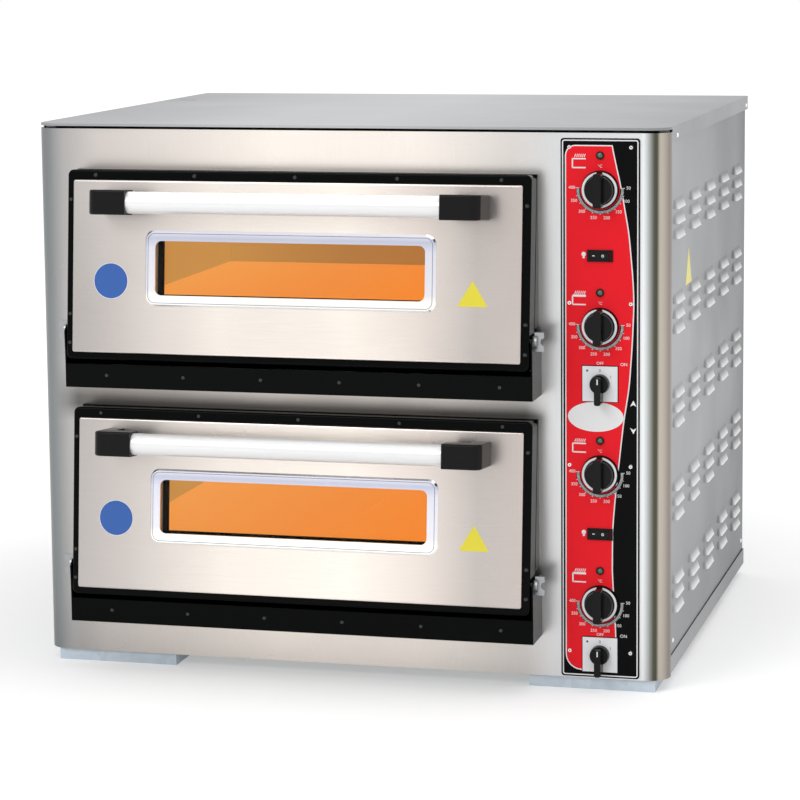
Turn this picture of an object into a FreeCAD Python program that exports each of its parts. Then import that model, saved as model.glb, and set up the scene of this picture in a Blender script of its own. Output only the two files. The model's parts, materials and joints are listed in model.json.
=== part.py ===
import FreeCAD
import Part
import Sketcher
import math
import os
import re

# A countertop pizza oven with two decks, in millimetres.
# +Z is up, the front looks towards -Y, and the controls are on the right, at +X.
# The origin is on the standing surface, under the middle of the oven's overall box.

SIZES = {
    # Case
    "body_width": 900,
    "body_depth": 770,
    "body_height": 755,
    "outer_sheet": 1.2,
    "seat_gap": 0.3,
    "column_radius": 30,
    "column_depth": 34,
    "joint_gap": 0.5,
    "side_recess": 4,
    "hem_width": 14,
    "cover_flange": 21,
    "cover_lip": 3.5,
    "cover_gap": 3.5,
    "tray_flange": 24,
    "tray_inset": 2,
    "rear_recess": 18,
    "rear_flange": 12,
    "foot_height": 17,
    "foot_width": 176,
    "foot_length": 190,
    "foot_sheet": 2,
    "foot_inset": 17,
    "foot_setback": 5,
    "vent_length": 26,
    "vent_width": 6,
    "vent_across": -414,
    "vent_back": 203,
    # Louvres
    "louvre_length": 70,
    "louvre_rise": 14,
    "louvre_bulge": 6,
    "louvre_taper": 7,
    "louvre_lip": 1.8,
    "louvre_pitch": 20.5,
    "group_pitch": 130,
    "column_pitch": 141,
    "first_column": 74,
    "first_group": 79,
    "louvre_rows": 3,
    "louvre_groups": 5,
    "louvre_columns": 5,
    # Decks
    "deck_pitch": 334,
    "deck_middle": -56,
    "hinge_height": 153,
    "hinge_forward": 45,
    "mouth_width": 620,
    "mouth_height": 158,
    "lip_height": 22,
    "frame_bottom": 15,
    "frame_top": 222,
    "frame_sheet": 1.5,
    "chamber_depth": 620,
    "chamber_drop": 40,
    "stone_thickness": 14,
    "stone_gap": 1,
    "ledge_width": 14,
    "ledge_sheet": 3,
    "bar_width": 24,
    "bar_height": 8,
    "element_radius": 4.2,
    "element_length": 570,
    "element_tail": 36,
    "element_bend": 75,
    "element_spread": 290,
    "element_drop": 14,
    "element_clearance": 0.3,
    "hanger_sheet": 2,
    "hanger_offset": 190,
    "hanger_edge": 8,
    "chamber_lamp_radius": 22,
    "chamber_lamp_tip": 15,
    "chamber_lamp_reach": 12,
    "chamber_lamp_depth": 30,
    "chamber_lamp_level": 125,
    "chamber_lamp_offset": 220,
    "insulation_cover": 45,
    "side_space": 33.5,
    "bay_wall_offset": 331,
    # Doors
    "door_lean": 5.2,
    "door_width": 658,
    "door_above": 223.5,
    "door_below": 40,
    "door_thickness": 32,
    "hinge_inset": 14,
    "casing_sheet": 1.5,
    "casing_corner": 8,
    "casing_rim": 3,
    "skin_side": 10.5,
    "skin_lower": 30,
    "skin_upper": 209.5,
    "skin_proud": 6,
    "skin_radius": 3,
    "skin_landing": 6,
    "skin_rim": 2.4,
    "door_gap": 4,
    "gasket_width": 6,
    "window_width": 383,
    "window_height": 75,
    "window_level": 89,
    "window_offset": -5,
    "window_radius": 9,
    "trim_border": 15,
    "trim_proud": 3,
    "trim_edge": 2.4,
    "trim_corner": 14,
    "glass_thickness": 4,
    "glass_margin": 8,
    "handle_level": 179,
    "handle_standoff": 48,
    "tube_end_gap": 1,
    "tube_radius": 15,
    "tube_wall": 1.5,
    "tube_grip": 0.2,
    "bracket_half_span": 274,
    "bracket_length": 54,
    "bracket_arm": 22,
    "bracket_half_height": 17,
    "bracket_corner": 12,
    "bracket_rounding": 3,
    # Sills and hinges
    "cheek_gap": 2,
    "cheek_sheet": 2,
    "cheek_top": 8,
    "cheek_forward": 62,
    "sill_sheet": 1.5,
    "sill_bottom": 79,
    "sill_forward": 60,
    "sill_top": 46,
    "sill_return": 6,
    "bolt_radius": 4,
    "bolt_clearance": 0.05,
    "bolt_flange": 9,
    "bolt_flange_height": 4,
    "wing_span": 26,
    "wing_height": 13,
    "wing_sheet": 3,
    "wing_notch": 5.2,
    "bush_radius": 8,
    "bush_length": 12,
    # Screws
    "screw_radius": 3.2,
    "screw_height": 1.6,
    "screw_shank": 1.5,
    "screw_length": 5,
    "screw_clearance": 0.1,
    "fascia_screw_spread": 42,
    "fascia_screw_end": 12,
    "fascia_screw_foot": 36,
    "fascia_screw_middle": 148,
    "sill_screw_level": 61,
    "sill_screw_pitch": 112,
    "sill_screw_offset": 8,
    "top_screw_level": 216,
    "top_screw_pitch": 144,
    "side_screw_spread": 323.5,
    "side_screw_high": 182,
    "side_screw_middle": 23,
    "side_screw_low": -17,
    "screw_taper": 0.9,
    "case_screw_high": 14,
    "case_screw_low": 41,
    "case_screw_front": 72,
    "case_screw_back": 22,
    "case_screw_length": 3,
    # Controls
    "fascia_middle": 358,
    "fascia_width": 108,
    "fascia_low": 2,
    "fascia_high": 741,
    "fascia_sheet": 2,
    "fascia_radius": 4,
    "knob_level_a": 672,
    "knob_level_b": 487,
    "knob_level_c": 285,
    "knob_level_d": 105,
    "knob_radius": 26,
    "knob_skirt": 5,
    "knob_body_radius": 20,
    "knob_body_height": 13,
    "knob_draft": 1.5,
    "knob_grip_width": 11,
    "knob_grip_height": 25,
    "knob_edge": 1.5,
    "knob_gap": 0.4,
    "spindle_radius": 3,
    "spindle_clearance": 0.05,
    "spindle_length": 14,
    "neck_radius": 5,
    "neck_clearance": 0.2,
    "thermostat_width": 44,
    "thermostat_height": 34,
    "thermostat_depth": 28,
    "lamp_lift": 46,
    "lamp_bezel_radius": 5.5,
    "lamp_bezel_height": 2,
    "lamp_dome_radius": 4.2,
    "lamp_body_radius": 4.5,
    "lamp_body_depth": 24,
    "rocker_level_a": 583,
    "rocker_level_b": 202,
    "rocker_width": 35,
    "rocker_height": 16,
    "rocker_rim": 2.5,
    "rocker_proud": 2,
    "rocker_depth": 22,
    "rocker_well": 9,
    "rocker_wall": 1,
    "rocker_tilt": 8,
    "rocker_play": 0.6,
    "rocker_rise": 3.2,
    "rocker_waist": 2.2,
    "rocker_pin": 1,
    "rocker_pin_reach": 0.8,
    "rocker_pin_clearance": 0.05,
    "selector_level_a": 409,
    "selector_level_b": 34,
    "selector_size": 48,
    "selector_sheet": 2,
    "selector_radius": 13.5,
    "selector_disc": 8,
    "selector_tail": 27,
    "selector_nose": 11,
    "selector_grip_width": 9,
    "selector_height": 20,
    "selector_depth": 46,
    "selector_body": 38,
    "terminal_width": 60,
    "terminal_depth": 22,
    "terminal_height": 30,
    "terminal_slot": 8,
    "terminal_pitch": 11.2,
    "terminal_floor": 6,
    "terminal_lift": 30,
    "gland_offset": 360,
    "gland_level": 75,
    "gland_radius": 12,
    "gland_corner": 13.8,
    "gland_thread": 9,
    "gland_bore": 6.5,
    "gland_nut": 6,
    "gland_dome": 8,
    "gland_tip": 9.5,
}

doc = FreeCAD.newDocument("PizzaOven")
sheet = doc.addObject("Spreadsheet::Sheet", "Sizes")
for row, (alias, value) in enumerate(SIZES.items(), start=1):
    sheet.set(f"A{row}", alias.replace("_", " "))
    sheet.set(f"B{row}", str(value))
    sheet.setAlias(f"B{row}", alias)
doc.recompute()

SUBPARTS = []
ALONG_X = FreeCAD.Vector(1, 0, 0)
ALONG_Y = FreeCAD.Vector(0, 1, 0)
ALONG_Z = FreeCAD.Vector(0, 0, 1)
TURNS = {
    "x": FreeCAD.Rotation(ALONG_Y, 90),
    "y": FreeCAD.Rotation(ALONG_X, -90),
    "z": FreeCAD.Rotation(),
}
PLANE_TURNS = {
    "XY_Plane": FreeCAD.Rotation(),
    "XZ_Plane": FreeCAD.Rotation(ALONG_X, 90),
    "YZ_Plane": FreeCAD.Rotation(FreeCAD.Vector(1, 1, 1), 120),
}
PLANE_AXES = {"XY_Plane": "z", "XZ_Plane": "y", "YZ_Plane": "x"}


def formula(text):
    """Turn the size names in a text into references to the sheet."""
    return re.sub(r"\b[a-z]+(?:_[a-z]+)+\b", r"Sizes.\g<0>", str(text))


def size(alias):
    return float(sheet.get(alias))


def bind(item, **properties):
    for name, text in properties.items():
        item.setExpression(name, formula(text))


def place(item, x="0", y="0", z="0"):
    for name, text in (("x", x), ("y", y), ("z", z)):
        item.setExpression(f"Placement.Base.{name}", formula(text))


def keep(item, label):
    """Mark an object as a sub-part of the oven, under its own name."""
    item.Label = label
    SUBPARTS.append(item)
    return item


def box(x_range, y_range, z_range):
    item = doc.addObject("Part::Box", "Box")
    bind(
        item,
        Length=f"({x_range[1]}) - ({x_range[0]})",
        Width=f"({y_range[1]}) - ({y_range[0]})",
        Height=f"({z_range[1]}) - ({z_range[0]})",
    )
    place(item, x_range[0], y_range[0], z_range[0])
    return item


def cylinder(axis, start, radius, length):
    item = doc.addObject("Part::Cylinder", "Cylinder")
    item.Placement.Rotation = TURNS[axis]
    bind(item, Radius=radius, Height=length)
    place(item, *start)
    return item


def cone(axis, start, radius, end_radius, length):
    item = doc.addObject("Part::Cone", "Cone")
    item.Placement.Rotation = TURNS[axis]
    bind(item, Radius1=radius, Radius2=end_radius, Height=length)
    place(item, *start)
    return item


def fuse(*items):
    item = doc.addObject("Part::MultiFuse", "Fuse")
    item.Shapes = list(items)
    item.Refine = True
    return item


def cut(base, *tools):
    item = doc.addObject("Part::Cut", "Cut")
    item.Base = base
    item.Tool = tools[0] if len(tools) == 1 else group(*tools)
    return item


def group(*items):
    """Hold several separate solids together."""
    item = doc.addObject("Part::Compound", "Group")
    item.Links = list(items)
    return item


def draw(sketch, points):
    """Close a polygon in a sketch, each corner bound to a pair of formulas."""
    first = sketch.GeometryCount
    sides = len(points)
    ring = []
    for index in range(sides):
        angle = 2 * math.pi * (index + 0.3) / sides
        ring.append(FreeCAD.Vector(100 * math.cos(angle), 100 * math.sin(angle), 0))
    for index in range(sides):
        sketch.addGeometry(Part.LineSegment(ring[index], ring[(index + 1) % sides]))
    for index in range(sides):
        follower = first + (index + 1) % sides
        sketch.addConstraint(Sketcher.Constraint("Coincident", first + index, 2, follower, 1))
    for index, (across, up) in enumerate(points):
        corner = ring[index]
        for kind, start, text in (("DistanceX", corner.x, across), ("DistanceY", corner.y, up)):
            rule = sketch.addConstraint(Sketcher.Constraint(kind, -1, 1, first + index, 1, start))
            sketch.setExpression(f"Constraints[{rule}]", formula(text))


def draw_rectangle(sketch, across, up):
    draw(sketch, [(across[0], up[0]), (across[1], up[0]), (across[1], up[1]), (across[0], up[1])])


def draw_circle(sketch, across, up, radius):
    start = FreeCAD.Vector(10, 10, 0)
    index = sketch.addGeometry(Part.Circle(start, ALONG_Z, 5))
    for kind, value, text in (("DistanceX", start.x, across), ("DistanceY", start.y, up)):
        rule = sketch.addConstraint(Sketcher.Constraint(kind, -1, 1, index, 3, value))
        sketch.setExpression(f"Constraints[{rule}]", formula(text))
    rule = sketch.addConstraint(Sketcher.Constraint("Radius", index, 5))
    sketch.setExpression(f"Constraints[{rule}]", formula(radius))


def prism(plane, points, start, end):
    """Extrude a polygon between two places along the normal of a plane."""
    sketch = doc.addObject("Sketcher::SketchObject", "Outline")
    draw(sketch, points)
    sketch.Placement.Rotation = PLANE_TURNS[plane]
    sketch.setExpression(f"Placement.Base.{PLANE_AXES[plane]}", formula(start))
    item = doc.addObject("Part::Extrusion", "Prism")
    item.Base = sketch
    item.DirMode = "Normal"
    item.Solid = True
    bind(item, LengthFwd=f"({end}) - ({start})")
    return item


def body_sketch(body, plane, offset="0"):
    """Attach a sketch to one of a body's own origin planes."""
    sketch = body.newObject("Sketcher::SketchObject", "Sketch")
    origin_plane = [item for item in body.Origin.OriginFeatures if item.Role == plane][0]
    sketch.AttachmentSupport = [(origin_plane, "")]
    sketch.MapMode = "FlatFace"
    sketch.setExpression("AttachmentOffset.Base.z", formula(offset))
    return sketch


def pad(body, sketch, length, reverse=False):
    feature = body.newObject("PartDesign::Pad", "Pad")
    feature.Profile = sketch
    feature.Reversed = reverse
    bind(feature, Length=length)
    return feature


def pocket(body, sketch, length, reverse=False):
    feature = body.newObject("PartDesign::Pocket", "Pocket")
    feature.Profile = sketch
    feature.Reversed = reverse
    bind(feature, Length=length)
    return feature


def revolve(body, sketch):
    """Turn a profile about the sketch's own horizontal axis."""
    feature = body.newObject("PartDesign::Revolution", "Revolution")
    feature.Profile = sketch
    feature.ReferenceAxis = (sketch, ["H_Axis"])
    feature.Angle = 360
    return feature


def round_edges(body, axis, test, radius):
    """Round the straight edges of a body that run along an axis and pass a test on their middle."""
    doc.recompute()
    base = body.Tip
    names = []
    for index, edge in enumerate(base.Shape.Edges, start=1):
        if edge.Curve.TypeId != "Part::GeomLine":
            continue
        if abs(edge.tangentAt(edge.FirstParameter).dot(axis)) < 0.999:
            continue
        if test(edge.CenterOfMass):
            names.append(f"Edge{index}")
    feature = body.newObject("PartDesign::Fillet", "Fillet")
    feature.Base = (base, names)
    bind(feature, Radius=radius)
    return feature


def near(value, target):
    return abs(value - target) < 0.05


def dress_rim(body, kind, face, **properties):
    """Round or chamfer the whole rim of a body's front face."""
    doc.recompute()
    base = body.Tip
    names = []
    for index, edge in enumerate(base.Shape.Edges, start=1):
        if near(edge.BoundBox.YMin, face) and near(edge.BoundBox.YMax, face):
            names.append(f"Edge{index}")
    rim = body.newObject(kind, "Rim")
    rim.Base = (base, names)
    bind(rim, **properties)
    return rim


def measured(text):
    """The value of a formula at the sheet's present sizes."""
    return float(sheet.evalExpression(formula(text)))


# Places that many pieces share

TUBE_OUT = "(door_thickness - hinge_inset + skin_proud + handle_standoff)"
BRACKET_OUT = f"({TUBE_OUT} + bracket_half_height - bracket_rounding)"
BRACKET_LOW = "(handle_level - bracket_half_height + bracket_rounding)"
HANDLE_REACH = (
    f"(hinge_forward + {BRACKET_OUT} * cos(door_lean) - {BRACKET_LOW} * sin(door_lean)"
    " + bracket_rounding)"
)
FRONT = f"(({HANDLE_REACH} - body_depth) / 2)"
BACK = f"({FRONT} + body_depth)"
SIDE = "(body_width / 2)"
FLOOR = "foot_height"
TOP = "(foot_height + body_height)"
COVER_UNDERSIDE = f"({TOP} - outer_sheet - seat_gap)"
TRAY_FACE = f"({FLOOR} + outer_sheet + seat_gap)"
PANEL_TOP = f"({TOP} - cover_lip - cover_gap)"
COLUMN_END = f"({FRONT} + column_depth)"
SIDE_FACE = f"({SIDE} - side_recess)"
SIDE_INNER = f"({SIDE_FACE} - outer_sheet - seat_gap)"
SIDE_BACK = f"({BACK} - outer_sheet - seat_gap)"
REAR_FACE = f"({BACK} - rear_recess)"
REAR_INNER = f"({REAR_FACE} - outer_sheet)"
BEHIND_PANEL = f"({FRONT} + outer_sheet)"
LEFT_WALL = "(deck_middle - mouth_width / 2)"
RIGHT_WALL = "(deck_middle + mouth_width / 2)"
BAY_WALL = "(deck_middle + bay_wall_offset)"
CHAMBER_FRONT = f"({BEHIND_PANEL} + seat_gap)"
CHAMBER_BACK = f"({CHAMBER_FRONT} + chamber_depth)"
BEHIND_TRAY = f"({CHAMBER_FRONT} + outer_sheet + seat_gap)"
LEDGE_TOP = "(lip_height - stone_thickness)"
CHAMBER_FLOOR = "(lip_height - chamber_drop)"
CEILING = "(lip_height + mouth_height)"
DECKS = ("lower", "upper")
SILL_SCREWS = 6

# In a door's own frame the origin is on the hinge axis, at the middle of the door,
# and the door stands upright with its front towards -Y.
DOOR_HALF = "(door_width / 2)"
DOOR_FACE = "(hinge_inset - door_thickness)"
SKIN_FACE = f"({DOOR_FACE} - skin_proud)"
TRIM_FACE = f"({SKIN_FACE} - trim_proud)"
SKIN_HALF = "(door_width / 2 - skin_side)"
WINDOW_X = ("window_offset - window_width / 2", "window_offset + window_width / 2")
WINDOW_Z = ("window_level - window_height / 2", "window_level + window_height / 2")


def at_deck(deck, height):
    """A height above the hinge axis of a deck, as a height above the standing surface."""
    return f"(hinge_height + {DECKS.index(deck)} * deck_pitch + {height})"


def forward(reach):
    """A place in front of the front panel."""
    return f"({FRONT} - {reach})"


def widened(span, margin):
    return (f"{span[0]} - {margin}", f"{span[1]} + {margin}")


def both_sides(half):
    return (f"-({half})", f"({half})")


def in_deck(low, high, side):
    """A range across the deck's middle line, on its right (1) or left (-1)."""
    if side > 0:
        return (f"deck_middle + {low}", f"deck_middle + {high}")
    return (f"deck_middle - {high}", f"deck_middle - {low}")


def mouth_block(deck, margin, y_range):
    """The way into a chamber, grown by a margin."""
    return box(
        (f"{LEFT_WALL} - {margin}", f"{RIGHT_WALL} + {margin}"),
        y_range,
        (at_deck(deck, f"lip_height - {margin}"), at_deck(deck, f"{CEILING} + {margin}")),
    )


def lean(item, deck):
    """Carry a piece from the door's own frame to its hinge, leaning back as the closed door does."""
    item.Placement.Rotation = FreeCAD.Rotation(-ALONG_X, size("door_lean"))
    item.setExpression("Placement.Rotation.Angle", formula("door_lean"))
    place(item, "deck_middle", forward("hinge_forward"), at_deck(deck, "0"))
    return item


# Case

def rounded_block(half_width, y_range, z_range, corner):
    """A block across the oven with its two upright front edges rounded."""
    body = doc.addObject("PartDesign::Body", "Block")
    sketch = body_sketch(body, "XY_Plane", z_range[0])
    draw_rectangle(sketch, both_sides(half_width), y_range)
    pad(body, sketch, f"({z_range[1]}) - ({z_range[0]})")
    front = measured(y_range[0])
    round_edges(body, ALONG_Z, lambda middle: near(middle.y, front), corner)
    return body


HIGH_SCREWS = f"({TOP} - case_screw_high)"
LOW_SCREWS = f"({FLOOR} + case_screw_low)"
CASE_SCREWS = []
for side in (1, -1):
    for along in (f"({FRONT} + case_screw_front)", f"({BACK} - case_screw_back)"):
        CASE_SCREWS.append((side, along, HIGH_SCREWS, SIDE))
        CASE_SCREWS.append((side, along, LOW_SCREWS, SIDE_FACE))


def case_screw_hole(side, along, level, face):
    """The hole for a screw through the sheet that its head sits on."""
    start = f"({face} - outer_sheet - 1)" if side > 0 else f"(-({face}) - 1)"
    return cylinder("x", (start, along, level), "screw_shank + screw_clearance", "outer_sheet + 2")


def make_case_screws():
    screws = []
    for side, along, level, face in CASE_SCREWS:
        radii = ["screw_radius", "screw_radius - screw_taper"]
        if side > 0:
            shank_start = f"({face} - case_screw_length)"
            head_start = face
        else:
            shank_start = f"(-({face}))"
            head_start = f"(-({face}) - screw_height)"
            radii.reverse()
        shank = cylinder("x", (shank_start, along, level), "screw_shank", "case_screw_length")
        head = cone("x", (head_start, along, level), *radii, "screw_height")
        screws.append(fuse(shank, head))
    keep(group(*screws), "case_screws")


def make_top_cover():
    outside = rounded_block(SIDE, (FRONT, BACK), (f"{TOP} - cover_flange", TOP), "column_radius")
    inside = rounded_block(
        f"({SIDE} - outer_sheet)",
        (BEHIND_PANEL, f"{BACK} - outer_sheet"),
        (f"{TOP} - cover_flange - 1", f"{TOP} - outer_sheet"),
        "column_radius - outer_sheet",
    )
    relief = box(
        both_sides(f"{SIDE} + 1"),
        (f"{FRONT} - 1", f"{COLUMN_END} + joint_gap"),
        (f"{TOP} - cover_flange - 1", f"{TOP} - cover_lip"),
    )
    slot_height = (f"{TOP} - outer_sheet - 1", f"{TOP} + 1")
    slot_middle = f"({BACK} - vent_back)"
    slot_y = (f"{slot_middle} - vent_width / 2", f"{slot_middle} + vent_width / 2")
    reach = "(vent_length / 2 - vent_width / 2)"
    vent = [box((f"vent_across - {reach}", f"vent_across + {reach}"), slot_y, slot_height)]
    for end in ("-", "+"):
        start = (f"vent_across {end} {reach}", slot_middle, slot_height[0])
        vent.append(cylinder("z", start, "vent_width / 2", "outer_sheet + 2"))
    holes = [case_screw_hole(*row) for row in CASE_SCREWS if row[2] == HIGH_SCREWS]
    keep(cut(outside, inside, relief, *vent, *holes), "top_cover")


def make_base_tray():
    half = f"({SIDE} - tray_inset)"
    front = f"({BEHIND_PANEL} + seat_gap)"
    outside = rounded_block(
        half, (front, BACK), (FLOOR, f"{FLOOR} + tray_flange"), "column_radius - tray_inset"
    )
    inside = rounded_block(
        f"{half} - outer_sheet",
        (f"{front} + outer_sheet", f"{BACK} - outer_sheet"),
        (f"{FLOOR} + outer_sheet", f"{FLOOR} + tray_flange + 1"),
        "column_radius - tray_inset - outer_sheet",
    )
    keep(cut(outside, inside), "base_tray")


def control_levels(kind, letters):
    return [f"({FLOOR} + {kind}_level_{letter})" for letter in letters]


KNOB_LEVELS = control_levels("knob", "abcd")
ROCKER_LEVELS = control_levels("rocker", "ab")
SELECTOR_LEVELS = control_levels("selector", "ab")
FASCIA_SCREWS = []
for level in (
    f"({FLOOR} + fascia_high - fascia_screw_end)",
    f"({FLOOR} + fascia_high / 2 + fascia_screw_middle)",
    f"({FLOOR} + fascia_high / 2 - fascia_screw_middle / 2)",
    f"({FLOOR} + fascia_low + fascia_screw_foot)",
):
    for side in ("-", "+"):
        FASCIA_SCREWS.append((f"(fascia_middle {side} fascia_screw_spread)", level))


def control_holes():
    """The holes for the necks, lamps, rockers and screws, through the fascia and the front panel."""
    sketch = doc.addObject("Sketcher::SketchObject", "ControlHoles")
    for level in KNOB_LEVELS:
        draw_circle(sketch, "fascia_middle", level, "neck_radius + neck_clearance")
        lamp_hole = "lamp_body_radius + neck_clearance"
        draw_circle(sketch, "fascia_middle", f"{level} + lamp_lift", lamp_hole)
    for level in SELECTOR_LEVELS:
        draw_circle(sketch, "fascia_middle", level, "neck_radius + neck_clearance")
    half_width = "(rocker_width / 2 - rocker_rim + neck_clearance)"
    half_height = "(rocker_height / 2 - rocker_rim + neck_clearance)"
    for level in ROCKER_LEVELS:
        draw_rectangle(
            sketch,
            (f"fascia_middle - {half_width}", f"fascia_middle + {half_width}"),
            (f"{level} - {half_height}", f"{level} + {half_height}"),
        )
    for across, level in FASCIA_SCREWS:
        draw_circle(sketch, across, level, "screw_shank + screw_clearance")
    sketch.Placement.Rotation = PLANE_TURNS["XZ_Plane"]
    place(sketch, "0", f"{BEHIND_PANEL} + 1", "0")
    item = doc.addObject("Part::Extrusion", "ControlHoles")
    item.Base = sketch
    item.DirMode = "Normal"
    item.Solid = True
    bind(item, LengthFwd="outer_sheet + fascia_sheet + 2")
    return item


CONTROL_HOLES = control_holes()


def make_front_panel():
    outside = rounded_block(SIDE, (FRONT, COLUMN_END), (FLOOR, PANEL_TOP), "column_radius")
    inside = rounded_block(
        f"({SIDE} - outer_sheet)",
        (BEHIND_PANEL, f"{COLUMN_END} + 1"),
        (f"{FLOOR} - 1", f"{PANEL_TOP} - outer_sheet"),
        "column_radius - outer_sheet",
    )
    mouths = [mouth_block(deck, "0", (f"{FRONT} - 1", f"{BEHIND_PANEL} + 1")) for deck in DECKS]
    keep(cut(outside, inside, *mouths, CONTROL_HOLES), "front_panel")


def make_side_panels():
    body = doc.addObject("PartDesign::Body", "SidePanel")
    front = f"({COLUMN_END} + joint_gap)"
    inner = f"({SIDE_FACE} - outer_sheet)"
    hem = f"({SIDE_FACE} - hem_width)"
    sketch = body_sketch(body, "XY_Plane", TRAY_FACE)
    outline = [
        (SIDE_FACE, front),
        (SIDE_FACE, SIDE_BACK),
        (hem, SIDE_BACK),
        (hem, f"{SIDE_BACK} - outer_sheet"),
        (inner, f"{SIDE_BACK} - outer_sheet"),
        (inner, f"{front} + outer_sheet"),
        (hem, f"{front} + outer_sheet"),
        (hem, front),
    ]
    draw(sketch, outline)
    pad(body, sketch, f"{COVER_UNDERSIDE} - {TRAY_FACE}")

    hood = body.newObject("PartDesign::AdditiveWedge", "Hood")
    hood.Placement.Rotation = FreeCAD.Rotation(ALONG_Z, -90)
    place(hood, SIDE_FACE, f"{FRONT} + first_column + louvre_length", f"{FLOOR} + first_group")
    hood.Ymin = 0
    hood.Xmin = 0
    hood.Zmin = 0
    hood.Z2min = 0
    hood.Z2max = 0
    bind(
        hood,
        Xmax="louvre_length",
        Ymax="louvre_bulge",
        Zmax="louvre_rise",
        X2min="louvre_taper",
        X2max="louvre_length - louvre_taper",
    )
    throat = body.newObject("PartDesign::SubtractiveWedge", "Throat")
    throat.Placement.Rotation = FreeCAD.Rotation(ALONG_Z, -90)
    place(throat, SIDE_FACE, f"{FRONT} + first_column + louvre_length", f"{FLOOR} + first_group")
    throat.Zmin = 0
    throat.Z2min = 0
    throat.Z2max = 0
    bind(
        throat,
        Xmin="louvre_lip",
        Xmax="louvre_length - louvre_lip",
        Ymin="-outer_sheet",
        Ymax="louvre_bulge - louvre_lip",
        Zmax="louvre_rise * (1 - (louvre_lip - outer_sheet) / louvre_bulge)",
        X2min="louvre_taper + louvre_lip",
        X2max="louvre_length - louvre_taper - louvre_lip",
    )
    doc.recompute()
    rows = (("Z_Axis", "louvre_pitch", "louvre_rows"),)
    groups = (("Z_Axis", "group_pitch", "louvre_groups"),)
    columns = (("Y_Axis", "column_pitch", "louvre_columns"),)
    steps = []
    for role, pitch, number in rows + groups + columns:
        step = doc.addObject("PartDesign::LinearPattern", "Step")
        axis = [item for item in body.Origin.OriginFeatures if item.Role == role][0]
        step.Direction = (axis, [""])
        bind(step, Length=f"{pitch} * ({number} - 1)", Occurrences=number)
        steps.append(step)
    louvres = body.newObject("PartDesign::MultiTransform", "Louvres")
    louvres.Originals = [hood, throat]
    for step in steps:
        body.addObject(step)
    louvres.Transformations = steps
    body.Tip = louvres
    low_screws = [row for row in CASE_SCREWS if row[0] > 0 and row[2] == LOW_SCREWS]
    panel = cut(body, *[case_screw_hole(*row) for row in low_screws])
    keep(panel, "right_side_panel")
    mirror = doc.addObject("Part::Mirroring", "Mirror")
    mirror.Source = panel
    mirror.Normal = ALONG_X
    keep(mirror, "left_side_panel")


def make_rear_panel():
    half = SIDE_INNER
    depth = (REAR_INNER, f"{REAR_FACE} + rear_flange")
    plate = box(both_sides(half), depth, (TRAY_FACE, COVER_UNDERSIDE))
    dish = box(
        both_sides(f"{half} - outer_sheet"),
        (REAR_FACE, f"{REAR_FACE} + rear_flange + 1"),
        (f"{TRAY_FACE} + outer_sheet", f"{COVER_UNDERSIDE} - outer_sheet"),
    )
    hole = cylinder(
        "y",
        ("gland_offset", f"{REAR_INNER} - 1", f"{FLOOR} + gland_level"),
        "gland_thread + neck_clearance",
        "outer_sheet + 2",
    )
    keep(cut(plate, dish, hole), "rear_panel")


def make_feet():
    feet = []
    front = f"({FRONT} + foot_setback)"
    back = f"({BACK} - foot_setback - foot_length)"
    for side in (1, -1):
        low = f"{SIDE} - foot_inset - foot_width"
        high = f"{SIDE} - foot_inset"
        across = (low, high) if side > 0 else (f"-({high})", f"-({low})")
        for start in (front, back):
            along = (start, f"{start} + foot_length")
            shell = box(across, along, ("0", "foot_height"))
            hollow = box(
                widened(across, "(-foot_sheet)"),
                widened(along, "(-foot_sheet)"),
                ("foot_sheet", "foot_height + 1"),
            )
            feet.append(cut(shell, hollow))
    keep(group(*feet), "feet")


# Hot part

ELEMENT_ROWS = []
for deck in DECKS:
    for height in (f"({LEDGE_TOP} - element_drop)", f"({CEILING} - element_drop)"):
        for turn in ("-", "+"):
            middle = f"({CHAMBER_FRONT} + chamber_depth / 2 {turn} element_spread / 2)"
            ELEMENT_ROWS.append((deck, middle, at_deck(deck, height)))


def element_legs(rows, clearance, start, end):
    legs = []
    for deck, middle, level in rows:
        for turn in ("-", "+"):
            place_of_leg = (start, f"{middle} {turn} element_bend", level)
            radius = f"element_radius + {clearance}"
            legs.append(cylinder("x", place_of_leg, radius, f"({end}) - ({start})"))
    return legs


def make_elements(deck):
    """Bend the heating rods of a deck into hairpins: two over the stones and two under them."""
    rows = [row for row in ELEMENT_ROWS if row[0] == deck]
    bend_start = f"({RIGHT_WALL} - element_length + element_bend)"
    hairpins = []
    for row in rows:
        legs = element_legs([row], "0", bend_start, f"{RIGHT_WALL} + element_tail")
        bend = doc.addObject("Part::Torus", "Bend")
        bend.Placement.Rotation = FreeCAD.Rotation(ALONG_Z, 90)
        bend.Angle3 = 180
        bind(bend, Radius1="element_bend", Radius2="element_radius")
        place(bend, bend_start, row[1], row[2])
        hairpins.append(fuse(*legs, bend))
    keep(group(*hairpins), f"{deck}_heating_elements")


def chamber_shell(deck, margin):
    """The outside of a chamber, grown by a margin on every side but the front."""
    grown = f"(outer_sheet + {margin})"
    return box(
        (f"{LEFT_WALL} - {grown}", f"{RIGHT_WALL} + {grown}"),
        (CHAMBER_FRONT, f"{CHAMBER_BACK} + {margin}"),
        (at_deck(deck, f"{CHAMBER_FLOOR} - {grown}"), at_deck(deck, f"{CEILING} + {grown}")),
    )


def lamp_place(deck, start):
    return (f"{LEFT_WALL} + chamber_lamp_offset", start, at_deck(deck, "chamber_lamp_level"))


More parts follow.
